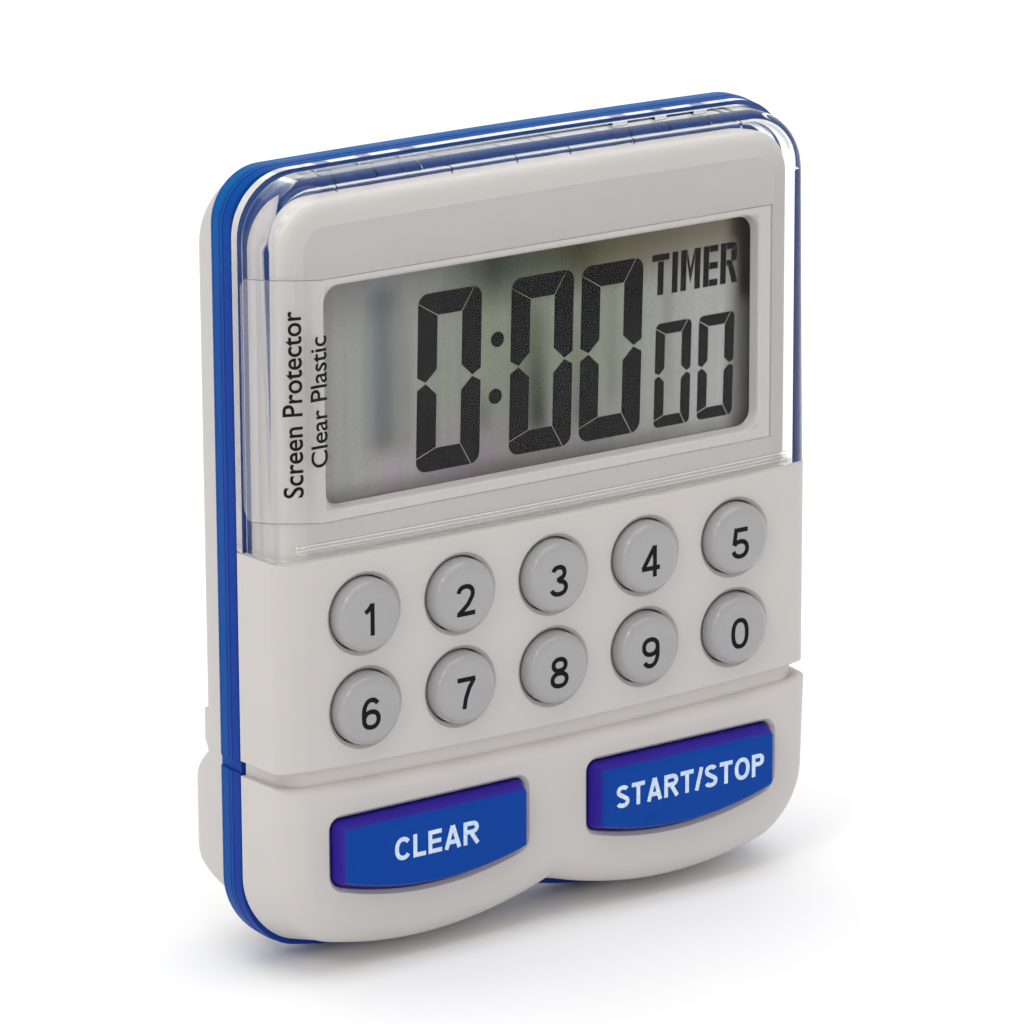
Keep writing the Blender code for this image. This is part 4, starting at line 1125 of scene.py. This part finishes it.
# ---- Lettering
def flat_letters(text, bold):
    """Triangles of a text in the built-in font, its box moved to start at (0, 0)."""
    curve = bpy.data.curves.new("letters", "FONT")
    curve.body = text
    curve.size = 10.0
    curve.offset = bold
    curve.resolution_u = 6
    made = bpy.data.objects.new("letters", curve)
    bpy.context.scene.collection.objects.link(made)
    graph = bpy.context.evaluated_depsgraph_get()
    graph.update()
    mesh = bpy.data.meshes.new_from_object(made.evaluated_get(graph))
    points = [v.co.copy() for v in mesh.vertices]
    faces = [tuple(p.vertices) for p in mesh.polygons]
    bpy.data.objects.remove(made)
    bpy.data.curves.remove(curve)
    low_x = min(p.x for p in points)
    high_x = max(p.x for p in points)
    low_y = min(p.y for p in points)
    high_y = max(p.y for p in points)
    spread_x = high_x - low_x
    spread_y = high_y - low_y
    return [((p.x - low_x) / spread_x, (p.y - low_y) / spread_y) for p in points], faces


def print_letters(name, text, width, height, at, material, body, bold, thickness):
    """Letters as a thin closed layer; at(u, v, lift) gives the point for u along and v up, in mm."""
    flat, faces = flat_letters(text, bold)
    bm = bmesh.new()
    front = [bm.verts.new(place(at(u * width, v * height, thickness * 0.35))) for u, v in flat]
    for face in faces:
        bm.faces.new([front[i] for i in face])
    bmesh.ops.remove_doubles(bm, verts=bm.verts, dist=2e-7)
    bmesh.ops.recalc_face_normals(bm, faces=bm.faces)
    item = new_object(name, bm)
    solid = item.modifiers.new("layer", "SOLIDIFY")
    solid.thickness = thickness * MM
    solid.offset = -1.0
    toward_front = sum(p.normal.y * p.area for p in item.data.polygons)
    if toward_front > 0:
        item.data.flip_normals()
    finish(item, material, body, None, 30.0, weighted=False)


def sweep(cx, cz, rx, rz, start, end, power=2.2, steps=18):
    """Points on a rounded loop from one angle to another."""
    points = []
    for i in range(steps + 1):
        turn = math.radians(start + (end - start) * i / steps)
        c, v = math.cos(turn), math.sin(turn)
        points.append((cx + rx * math.copysign(abs(c) ** (2 / power), c),
                       cz + rz * math.copysign(abs(v) ** (2 / power), v)))
    return points


def loop(cx, cz, rx, rz, power):
    return sweep(cx, cz, rx, rz, 0, 360, power, 36)[:-1] + ["closed"]


# Each character is a few centre lines, and each line a list of items. Two or four numbers are a point:
# shares of the character's width and height, then half strokes to add to each. Six numbers are an arc:
# middle, radii and angles. Five are a closed loop: middle, radii and squareness.
LEFT_POST = ((0, 0, 1, 0), (0, 1, 1, 0))
STROKES = {
    "0": [[(0.5, 0.5, 0.5, 0.5, 2.35)]],
    "1": [[(0.62, 0), (0.62, 1)], [(0.60, 1, 0, -0.4), (0.49, 0.86), (0.36, 0.78), (0.24, 0.74)]],
    "2": [[(0.49, 0.70, 0.49, 0.30, 172, -28), (0.62, 0.36), (0.34, 0.2), (0.16, 0, 0, 1.4)],
          [(0, 0, 0.3, 1), (1, 0, 0, 1)]],
    "3": [[(0.47, 0.745, 0.42, 0.255, 165, -90)], [(0.36, 0.527), (0.52, 0.527)],
          [(0.47, 0.275, 0.50, 0.275, 90, -168)]],
    "4": [[(0.72, 0), (0.72, 1)], [(0.69, 1, 0, -0.6), (0.06, 0.29)], [(0, 0.285), (1, 0.285)]],
    "5": [[(0.48, 0.315, 0.50, 0.315, 148, -168)], [(0.9, 1, 0, -1), (0.2, 1, 0, -1)],
          [(0.255, 1), (0.13, 0.46)]],
    "6": [[(0.5, 0.315, 0.49, 0.315, 2.2)], [(0.52, 0.5, 0.52, 0.5, 42, 180), (0, 0.33, 1, 0)]],
    "7": [[(0.02, 1, 0, -1), (0.98, 1, 0, -1)], [(0.93, 1, 0, -1), (0.66, 0.66), (0.47, 0.34), (0.38, 0)]],
    "8": [[(0.5, 0.745, 0.44, 0.255, 2.2)], [(0.5, 0.275, 0.5, 0.275, 2.2)]],
    "A": [[(0, 0, 0.9, 0), (0.5, 1, -0.1, 0)], [(1, 0, -0.9, 0), (0.5, 1, 0.1, 0)],
          [(0.2, 0.29), (0.8, 0.29)]],
    "C": [[(0.52, 0.5, 0.52, 0.5, 38, 322)]],
    "L": [LEFT_POST, [(0, 0, 1, 1), (1, 0, 0, 1)]],
    "O": [[(0.5, 0.5, 0.5, 0.5, 2.2)]],
    "P": [LEFT_POST, [(0, 1, 1, -1), (0.55, 1, 0, -1), (0.58, 0.725, 0.40, 0.275, 88, -88),
                      (0.55, 0.45, 0, 1), (0, 0.45, 1, 1)]],
    "S": [[(0.5, 0.735, 0.47, 0.265, 25, 232), (0.5, 0.27, 0.5, 0.27, 52, -160)]],
    "T": [[(0.5, 0), (0.5, 1)], [(0, 1, 0, -1), (1, 1, 0, -1)]],
    "/": [[(0.12, 0), (0.88, 1)]],
}
STROKES["E"] = STROKES["L"] + [[(0, 0.51, 1, 0), (0.93, 0.51)], [(0, 1, 1, -1), (0.98, 1, 0, -1)]]
STROKES["R"] = STROKES["P"] + [[(0.5, 0.5), (0.92, 0)]]


def strokes_of(character, w, h, s):
    """Centre lines of a character w wide and h high, drawn with a stroke s wide; a 9 is a 6 turned round."""
    if character == "9":
        lines = strokes_of("6", w, h, s)
        return [[p if p == "closed" else (w - p[0], h - p[1]) for p in line] for line in lines]
    half = s / 2
    lines = []
    for stroke in STROKES[character]:
        line = []
        for item in stroke:
            u, v, a, b = (*item, 0, 0)[:4]
            if len(item) == 6:
                line += sweep(w * u, h * v, w * a - half, h * b - half, *item[4:])
            elif len(item) == 5:
                line += loop(w * u, h * v, w * a - half, h * b - half, item[4])
            else:
                line.append((w * u + half * a, h * v + half * b))
        lines.append(line)
    return lines


LETTER_WIDTHS = {"C": 0.78, "L": 0.62, "E": 0.68, "A": 0.82, "R": 0.78, "S": 0.72, "T": 0.72, "O": 0.84,
                 "P": 0.70, "/": 0.36}


def word_strokes(text, width, h, s):
    """All centre lines of a word, its letters set out evenly over the width."""
    letters = [LETTER_WIDTHS[letter] for letter in text]
    space = 0.13
    unit = width / (sum(letters) + space * (len(text) - 1))
    lines = []
    left = 0.0
    for letter, share in zip(text, letters):
        for line in strokes_of(letter, share * unit, h, s):
            lines.append([p if p == "closed" else (p[0] + left, p[1]) for p in line])
        left += (share + space) * unit
    return lines


def in_short_steps(points):
    """The same line with points close enough together to follow a curved surface."""
    fine = [points[0]]
    for before, after in zip(points, points[1:]):
        steps = max(1, math.ceil((after - before).length / 0.3))
        fine += [before.lerp(after, i / steps) for i in range(1, steps + 1)]
    return fine


def ribbon(line, s):
    """The two sides of a stroke along a centre line, and whether it closes on itself."""
    closed = line[-1] == "closed"
    points = [Vector(p) for p in line if p != "closed"]
    if not closed:
        points = in_short_steps(points)
    count = len(points)
    sides = ([], [])
    for i, point in enumerate(points):
        before = points[i - 1] if closed or i else None
        after = points[(i + 1) % count] if closed or i < count - 1 else None
        steps = []
        if before is not None:
            steps.append((point - before).normalized())
        if after is not None:
            steps.append((after - point).normalized())
        along = sum(steps, Vector((0.0, 0.0))).normalized()
        reach = s / 2 / max(0.5, along.dot(steps[0]))
        across = Vector((-along.y, along.x)) * reach
        sides[0].append(point + across)
        sides[1].append(point - across)
    return sides, closed


def add_stroke(bm, line, s):
    (left, right), closed = ribbon(line, s)
    count = len(left)
    rings = []
    for i in range(count):
        corners = [(left[i], 1.0), (right[i], 1.0), (right[i], -1.0), (left[i], -1.0)]
        rings.append([bm.verts.new((p.x, z, p.y)) for p, z in corners])
    for i in range(count if closed else count - 1):
        near, far = rings[i], rings[(i + 1) % count]
        for k in range(4):
            m = (k + 1) % 4
            bm.faces.new((near[k], near[m], far[m], far[k]))
    if not closed:
        bm.faces.new(rings[0][::-1])
        bm.faces.new(rings[-1])


def print_strokes(name, lines, s, at, material, body, proud=0.02, sunk=0.03):
    """Strokes joined into one thin closed layer and laid on a surface by at(u, v, lift)."""
    item = None
    for line in lines:
        bm = bmesh.new()
        add_stroke(bm, line, s)
        if item is None:
            item = new_object(name, bm)
        else:
            join(item, bm)
    for vertex in item.data.vertices:
        u, side, v = vertex.co
        vertex.co = place(at(u, v, proud if side < 0 else -sunk))
    finish(item, material, body, None, 30.0, weighted=False)


def build_key_digit(node):
    x, height = centre_of(node)
    wide, tall, stroke = 2.15, 3.2, 0.46
    left = x - 0.3 - wide / 2
    low = height - 0.2 - tall / 2

    def at(u, v, lift):
        px, pz = left + u, low + v
        return (px, dome(math.hypot(px - x, pz - height)) - lift, pz)

    lines = strokes_of(node[-1], wide, tall, stroke)
    print_strokes("digit_" + node[-1], lines, stroke, at, key_ink, node)


def build_button_legend(node, text, x_range, heights):
    low, high = heights

    def at(u, v, lift):
        return (x_range[0] + u, WIDE_FACE - lift, low + v)

    lines = word_strokes(text, x_range[1] - x_range[0], high - low, 0.44)
    print_strokes("legend_" + node, lines, 0.44, at, pale_ink, node)


def build_film_text():
    rows = (("film_text_1", "Screen Protector", (49.0, 67.1), 0.38, 1.98, 0.12),
            ("film_text_2", "Clear Plastic", (51.6, 64.3), -2.35, 1.85, 0.08))
    for name, text, (low, high), baseline, tall, bold in rows:
        def at(u, v, lift, low=low, baseline=baseline):
            return film_point(baseline + v, low + u, lift)

        print_letters(name, text, high - low, tall, at, film_ink, "case", bold, 0.03)


# ---- Display
SEGMENT_DEPTH = 2.66
FACE_FRONT = 2.7
SEGMENT_BACK = FACE_FRONT + 0.01
DIGIT_SLANT = 0.027
DIGIT_BASE = 48.1
WORD_LEFT = 13.45
WORD_BASE = 61.6
BIG = (7.45, 17.7, 2.35)
SMALL = (4.45, 10.65, 1.25)
DIGITS = ((-14.1, BIG), (-3.3, BIG), (4.98, BIG), (14.03, SMALL), (19.3, SMALL))
JOINT = 0.12
LIT = 1.08


def zero_segments(wide, tall, stroke):
    """The six dark segments of a 0, as outlines from the digit's lower left corner."""
    r = stroke * 0.5
    mid = tall / 2
    high = tall - stroke
    side = wide - stroke
    tip = stroke * 0.25
    inner = stroke * 0.52
    slit = stroke * 0.38
    heel = stroke * 0.62
    point = stroke * 0.44
    low_cut = wide - slit - 0.1
    top_left = arc(r, tall - r, r, 90, 170, SEGMENT_STEPS)
    top_right = arc(wide - r, tall - r, r, 0, 62, SEGMENT_STEPS)
    low_left = arc(r, r, r, 184, 270, SEGMENT_STEPS)
    low_right = arc(wide - r, r, r, 298, 360, SEGMENT_STEPS)
    top = [(stroke, high), (side, high), (wide - slit, tall)] + top_left
    right_high = [(side, high), (side, mid + inner), (wide - point, mid), (wide, mid + tip)]
    right_high += top_right + [(wide - slit, tall)]
    right_low = [(side, stroke), (low_cut, 0.0)] + low_right
    right_low += [(wide, mid - tip), (wide - point, mid), (side, mid - inner)]
    base = [(stroke, stroke), (0.0, heel)] + low_left + [(low_cut, 0.0), (side, stroke)]
    left_low = [(stroke, stroke), (stroke, mid - inner), (point, mid), (0.0, mid - tip), (0.0, heel)]
    left_high = [(stroke, high), (0.0, tall - slit), (0.0, mid + tip), (point, mid), (stroke, mid + inner)]
    return [top, right_high, right_low, base, left_low, left_high]


def signed_area(outline):
    total = 0.0
    for (x0, z0), (x1, z1) in zip(outline, outline[1:] + outline[:1]):
        total += x0 * z1 - x1 * z0
    return total / 2


def anticlockwise(outline):
    return outline if signed_area(outline) > 0 else outline[::-1]


def block(x0, x1, z0, z1):
    return [(x0, z0), (x1, z0), (x1, z1), (x0, z1)]


def timer_letters():
    """The word on the display: each letter's left edge and the outlines of its bars."""
    tall = 4.1
    s = 0.66
    arm = s + 0.07
    shelf = tall - s
    post = block(0, s, 0, tall)
    right = 1.7 - 0.07
    vee = [(arm, tall), (arm, tall - 1.1), (1.18, 0.7), (right, tall - 1.1), (right, tall), (1.18, 2.1)]
    bars = [block(arm, 1.75, low, low + s) for low in (0.0, (tall - s) / 2, shelf)]
    head = [(arm, shelf), (1.6, shelf), (1.95, tall - 0.3), (1.6, tall), (arm, tall)]
    bow = [(1.3, 2.35), (1.62, 2.1), (1.98, 2.4), (1.98, tall - 0.42)]
    bow += [(1.64, shelf - 0.06), (1.3, shelf - 0.06)]
    waist = 1.75 + s - 0.08
    belt = [(arm, 1.75), (1.25, 1.75), (1.55, 2.05), (1.25, waist), (arm, waist)]
    leg = [(0.95, 1.68), (1.45, 0.0), (2.1, 0.0), (1.55, 1.85)]
    return ((0.0, [block(0, 2.05, shelf, tall), block(0.7, 1.4, 0, shelf - 0.08)]),
            (2.45, [post]),
            (3.5, [post, block(1.7, 1.7 + s, 0, tall), vee]),
            (6.25, [post] + bars),
            (8.35, [post, head, bow, belt, leg]))


def slanted(x, height):
    return (x + (height - DIGIT_BASE - BIG[1] / 2) * DIGIT_SLANT, height)


def build_segments():
    bm = bmesh.new()
    for left, (wide, tall, stroke) in DIGITS:
        for outline in zero_segments(wide, tall, stroke):
            inside = offset(anticlockwise(outline), JOINT / 2)
            line = [slanted(left + x, DIGIT_BASE + z) for x, z in inside]
            add_prism(bm, line, SEGMENT_DEPTH, SEGMENT_BACK)
    for x, height in ((-4.72, 60.05), (-5.02, 54.42)):
        add_disc(bm, x, height, 0.76, SEGMENT_DEPTH, SEGMENT_BACK, 32)
    for left, outlines in timer_letters():
        for outline in outlines:
            line = [slanted(WORD_LEFT + left + x, WORD_BASE + z) for x, z in anticlockwise(outline)]
            add_prism(bm, line, SEGMENT_DEPTH, SEGMENT_BACK)
    n = Nodes("display_segment")
    # Painted shade: at the display's upper right the segments go almost black, along with the painted shade
    # on the display face.
    rise = n.new("ShaderNodeMath", operation="MULTIPLY")
    n.link(n.span(n.split("Z"), 0.0, 1.0, 0.056, 0.063), rise.inputs[0])
    n.link(n.span(n.split("X"), 0.0, 1.0, -0.012, 0.006), rise.inputs[1])
    grain = n.noise(420.0, 3.0)
    charcoal = n.mix(n.span(grain, 0.0, 1.0), (0.006, 0.0056, 0.006), (0.009, 0.0083, 0.0094))
    n.color(n.mix(rise.outputs[0], charcoal, (0.0005, 0.0005, 0.0006)))
    n.gloss(grain, 0.33, 0.37)
    n.bump(grain, 0.05, 0.000001)
    n.set(Specular_IOR_Level=0.05)
    item = new_object("display_segments", bm)
    finish(item, n.material, "case", None, 30.0, weighted=False)


def smoothstep(low, high, value):
    t = max(0.0, min(1.0, (value - low) / (high - low)))
    return t * t * (3 - 2 * t)


def to_linear(value):
    value = max(0.0, value) / 255.0
    return value / 12.92 if value <= 0.04045 else ((value + 0.055) / 1.055) ** 2.4


# A painted shadow of the segments on the reflector behind them is a soft dark upright stripe:
# x, width, strength at its foot and at its head, lowest and highest point.
PAINTED_SEGMENT_SHADOWS = (
    (-17.9, 1.8, 46.0, 38.0, 51.0, 66.5),
    (-15.3, 0.9, 12.0, 8.0, 50.5, 64.0),
    (0.0, 1.1, 66.0, 22.0, 50.0, 62.0),
    (-1.5, 1.6, 16.0, 16.0, 51.0, 64.0),
    (9.0, 1.0, 14.0, 8.0, 51.5, 64.0),
    (-6.3, 0.9, 26.0, 0.0, 51.5, 57.0),
    (4.7, 0.8, 26.0, 8.0, 50.0, 60.0),
    (-12.0, 1.0, 10.0, 6.0, 50.0, 64.0),
    (15.6, 0.8, 10.0, 16.0, 50.0, 62.0),
)


def display_tone(x, height):
    """The display's colour: grey-green, with painted shade darker at the top, right and bottom, and soft
    painted shadows of the segments.
    """
    tone = 156.0 + 12.0 * smoothstep(14.0, 20.0, x)
    tone -= 19.0 * math.exp(-((x + 1.0) / 11.5) ** 4)
    # Painted shade: the tone falls off towards the top and the bottom of the window.
    reach = 18.0 + 36.0 * smoothstep(-12.0, -4.5, x)
    reach += 16.0 * math.exp(-((abs(x) - 5.0) / 2.0) ** 2)
    tone -= reach * smoothstep(61.8, 67.6, height)
    tone -= 26.0 * smoothstep(49.0, 47.2, height)
    # Painted shadows of the segments: soft dark stripes beside the digits.
    for at, width, foot, head, low, high in PAINTED_SEGMENT_SHADOWS:
        if low - 2.0 < height < high + 2.0:
            share = smoothstep(low, high, height)
            power = (foot + (head - foot) * share) * smoothstep(low - 1.5, low + 1.5, height)
            power *= smoothstep(high + 1.8, high - 1.0, height)
            tone -= power * math.exp(-((x - at) / width) ** 2)
    # Painted shade: darker towards the right edge and in the upper right corner.
    edge = smoothstep(22.0, 25.6, x)
    tone *= 1.0 - 0.62 * edge
    tone *= 1.0 - 0.95 * smoothstep(23.7, 25.1, x) * smoothstep(58.5, 61.5, height)
    tone *= 1.0 - 0.7 * smoothstep(22.6, 24.6, x) * smoothstep(65.4, 66.8, height)
    # Tints: cold on the leftmost painted shadow, green in the middle, warm in the painted shade at the top
    # right, and pink low on the left.
    cold = math.exp(-((x + 18.4) / 1.6) ** 2) * smoothstep(51.0, 54.0, height)
    green = math.exp(-((x - 0.5) / 12.0) ** 4) * smoothstep(50.0, 56.0, height)
    warm = smoothstep(62.0, 67.0, height) * smoothstep(-2.0, 10.0, x)
    pink = math.exp(-((height - 49.0) / 2.6) ** 2) * math.exp(-((x + 9.5) / 6.0) ** 2)
    pink += 0.6 * math.exp(-((x + 17.0) / 1.5) ** 2) * smoothstep(53.0, 49.0, height)
    red = tone - 6.0 * green + 7.0 * warm + 2.0 * pink - 6.0 * cold
    blue = tone - 4.0 - 11.0 * green - 11.0 * warm + 2.0 * pink + 6.0 * cold
    return tuple(LIT * to_linear(value) for value in (red, tone - 9.0 * pink, blue)) + (1.0,)


def build_display_face():
    low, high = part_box("lcd_polariser")
    x0, x1 = low.x / MM, high.x / MM
    z0, z1 = low.z / MM, high.z / MM
    columns, rows = 220, 96
    bm = bmesh.new()
    grid = []
    for j in range(rows + 1):
        height = z0 + (z1 - z0) * j / rows
        grid.append([bm.verts.new(place((x0 + (x1 - x0) * i / columns, FACE_FRONT, height)))
                     for i in range(columns + 1)])
    for j in range(rows):
        for i in range(columns):
            bm.faces.new((grid[j][i], grid[j][i + 1], grid[j + 1][i + 1], grid[j + 1][i]))
    corners = ((x0, z0), (x1, z0), (x1, z1), (x0, z1))
    back = [bm.verts.new(place((x, FACE_FRONT + 0.2, z))) for x, z in corners]
    bottom = grid[0]
    top = grid[-1]
    left = [row[0] for row in grid]
    right = [row[-1] for row in grid]
    bm.faces.new(bottom[::-1] + [back[0], back[1]])
    bm.faces.new(right[::-1] + [back[1], back[2]])
    bm.faces.new(top + [back[2], back[3]])
    bm.faces.new(left + [back[3], back[0]])
    bm.faces.new(back[::-1])
    face = new_object("display_face", bm)
    tones = face.data.color_attributes.new("tone", "FLOAT_COLOR", "POINT")
    for i, vertex in enumerate(face.data.vertices):
        tones.data[i].color = display_tone(vertex.co.x / MM, vertex.co.z / MM)
    n = Nodes("display_face")
    tone = n.new("ShaderNodeVertexColor")
    tone.layer_name = "tone"
    streaks = n.noise(1100.0, 3.0, stretch=(1.0, 1.0, 0.04))
    grain = n.noise(3500.0, 2.0)
    gain = n.new("ShaderNodeMath", operation="MULTIPLY")
    n.link(n.span(streaks, 0.95, 1.05), gain.inputs[0])
    n.link(n.span(grain, 0.93, 1.07), gain.inputs[1])
    scaled = n.new("ShaderNodeVectorMath", operation="SCALE")
    n.link(tone.outputs["Color"], scaled.inputs[0])
    n.link(gain.outputs[0], scaled.inputs["Scale"])
    n.color(scaled.outputs[0])
    n.gloss(grain, 0.3, 0.4)
    n.bump(grain, 0.1, 0.000003)
    n.set(Specular_IOR_Level=0.05)
    finish(face, n.material, "case", "lcd_polariser", 30.0, weighted=False)


# ---- The pieces
build_front_shell()
build_cover()
build_film()
build_mid_frame()
build_rear_shell()
build_battery_door()
build_stand()
for key_node in KEY_NODES:
    build_key(key_node)
    build_key_digit(key_node)
build_wide_button("key_clear", -1)
build_wide_button("key_start_stop", 1)
build_button_legend("key_clear", "CLEAR", (-20.2, -10.4), (11.35, 13.7))
build_button_legend("key_start_stop", "START/STOP", (6.05, 24.35), (11.4, 13.75))
build_film_text()
build_display_face()
build_segments()

# ---- CAD pieces that stay
KEPT = {
    "lcd_glass": moulded("display_glass", (0.32, 0.36, 0.33), (0.30, 0.34, 0.31), 0.1, grain=1500.0),
    "reflector": metal("reflector_foil", (0.55, 0.57, 0.55), 0.35),
    "silicone": moulded("silicone", (0.36, 0.37, 0.36), (0.40, 0.41, 0.40), 0.7, grain=1800.0),
    "board": moulded("board_mask", (0.012, 0.105, 0.030), (0.018, 0.135, 0.040), 0.4, 900.0, 0.00003),
    "epoxy": moulded("epoxy", (0.008, 0.008, 0.009), (0.012, 0.012, 0.013), 0.3, 900.0, 0.00002),
    "steel": metal("steel", (0.62, 0.62, 0.64), 0.28, (1.0, 1.0, 0.1)),
    "brass": metal("brass", (0.66, 0.48, 0.20), 0.3),
    "magnet": moulded("magnet", (0.055, 0.055, 0.060), (0.080, 0.080, 0.085), 0.5, 2600.0, 0.00002),
    "ceramic": moulded("ceramic", (0.70, 0.66, 0.58), (0.74, 0.70, 0.62), 0.5),
    "battery_sleeve": moulded("battery_sleeve", (0.008, 0.075, 0.030), (0.010, 0.090, 0.038), 0.2),
    "red_sleeve": moulded("red_sleeve", (0.40, 0.012, 0.010), (0.46, 0.016, 0.012), 0.35),
    "black_sleeve": moulded("black_sleeve", (0.010, 0.010, 0.010), (0.016, 0.016, 0.016), 0.35),
}
SHOWN_SLOTS = {
    "shell_plastic": shell_plastic,
    "blue_plastic": blue_plastic,
    "button_plastic": button_plastic,
    "key_plastic": key_plastic,
    "clear_plastic": clear_plastic,
    "film": film_plastic,
    "polariser": shell_plastic,
}
for part in frame["record"]["subparts"]:
    chosen = KEPT.get(part["material_slot"]) or SHOWN_SLOTS[part["material_slot"]]
    for holder in frame["nodes"][part["node"]].material_slots:
        holder.material = chosen


# ---- Floor, light and camera
def build_floor():
    bm = bmesh.new()
    half, back, high, radius = 3000.0, 1500.0, 2200.0, 600.0
    profile = [(-2500.0, 0.0), (back - radius, 0.0)]
    for i in range(1, 13):
        turn = math.pi / 2 * i / 12
        profile.append((back - radius + radius * math.sin(turn), radius * (1 - math.cos(turn))))
    profile.append((back, high))
    near = [bm.verts.new(place((-half, depth, height))) for depth, height in profile]
    far = [bm.verts.new(place((half, depth, height))) for depth, height in profile]
    for i in range(len(profile) - 1):
        bm.faces.new((near[i], far[i], far[i + 1], near[i + 1]))
    floor = new_object("floor", bm)
    n = Nodes("floor_paper")
    clouds = n.span(n.noise(30.0), 0.0, 1.0)
    n.color(n.mix(clouds, (0.93, 0.93, 0.93), (0.95, 0.95, 0.95)))
    n.set(Roughness=0.9, Specular_IOR_Level=0.1)
    floor.data.materials.append(n.material)
    floor.data.shade_smooth()


def add_lamp(name, toward, power, spread):
    """A soft lamp so far off that it lights everything alike; toward points from the timer to it."""
    light = bpy.data.lights.new(name, "SUN")
    light.energy = power
    light.angle = math.radians(spread)
    item = bpy.data.objects.new(name, light)
    item.location = Vector(toward) * 0.5
    item.rotation_mode = "QUATERNION"
    item.rotation_quaternion = Vector(toward).to_track_quat("Z", "Y")
    bpy.context.scene.collection.objects.link(item)


def build_light():
    add_lamp("key_light", (-0.66, -0.36, 0.66), 0.32, 16.0)
    add_lamp("side_light", (-0.86, -0.4, 0.3), 0.16, 14.0)
    add_lamp("top_light", (0.0, 0.0, 1.0), 1.2, 60.0)
    world = bpy.data.worlds.new("studio")
    bpy.context.scene.world = world
    world.use_nodes = True
    back = world.node_tree.nodes["Background"]
    back.inputs["Color"].default_value = (1.0, 1.0, 1.0, 1.0)
    back.inputs["Strength"].default_value = 0.72


def build_camera():
    azimuth, elevation, roll = (math.radians(a) for a in (-34.637, 16.294, -0.253))
    distance = 0.5558
    target = Vector((-4.832, -DEPTH_MIDDLE, 43.365)) * MM
    back = Vector((math.sin(azimuth) * math.cos(elevation), -math.cos(azimuth) * math.cos(elevation),
                   math.sin(elevation)))
    data = bpy.data.cameras.new("camera")
    data.lens = 202.3
    data.sensor_width = 36.0
    data.clip_start = 0.01
    data.clip_end = 20.0
    item = bpy.data.objects.new("camera", data)
    item.location = target + back * distance
    turn = (-back).to_track_quat("-Z", "Y").to_matrix().to_4x4()
    item.matrix_world = Matrix.Translation(item.location) @ turn @ Matrix.Rotation(roll, 4, "Z")
    bpy.context.scene.collection.objects.link(item)
    bpy.context.scene.camera = item


build_floor()
build_light()
build_camera()
bpy.context.scene.view_settings.view_transform = "Standard"

bpy.context.view_layer.update()
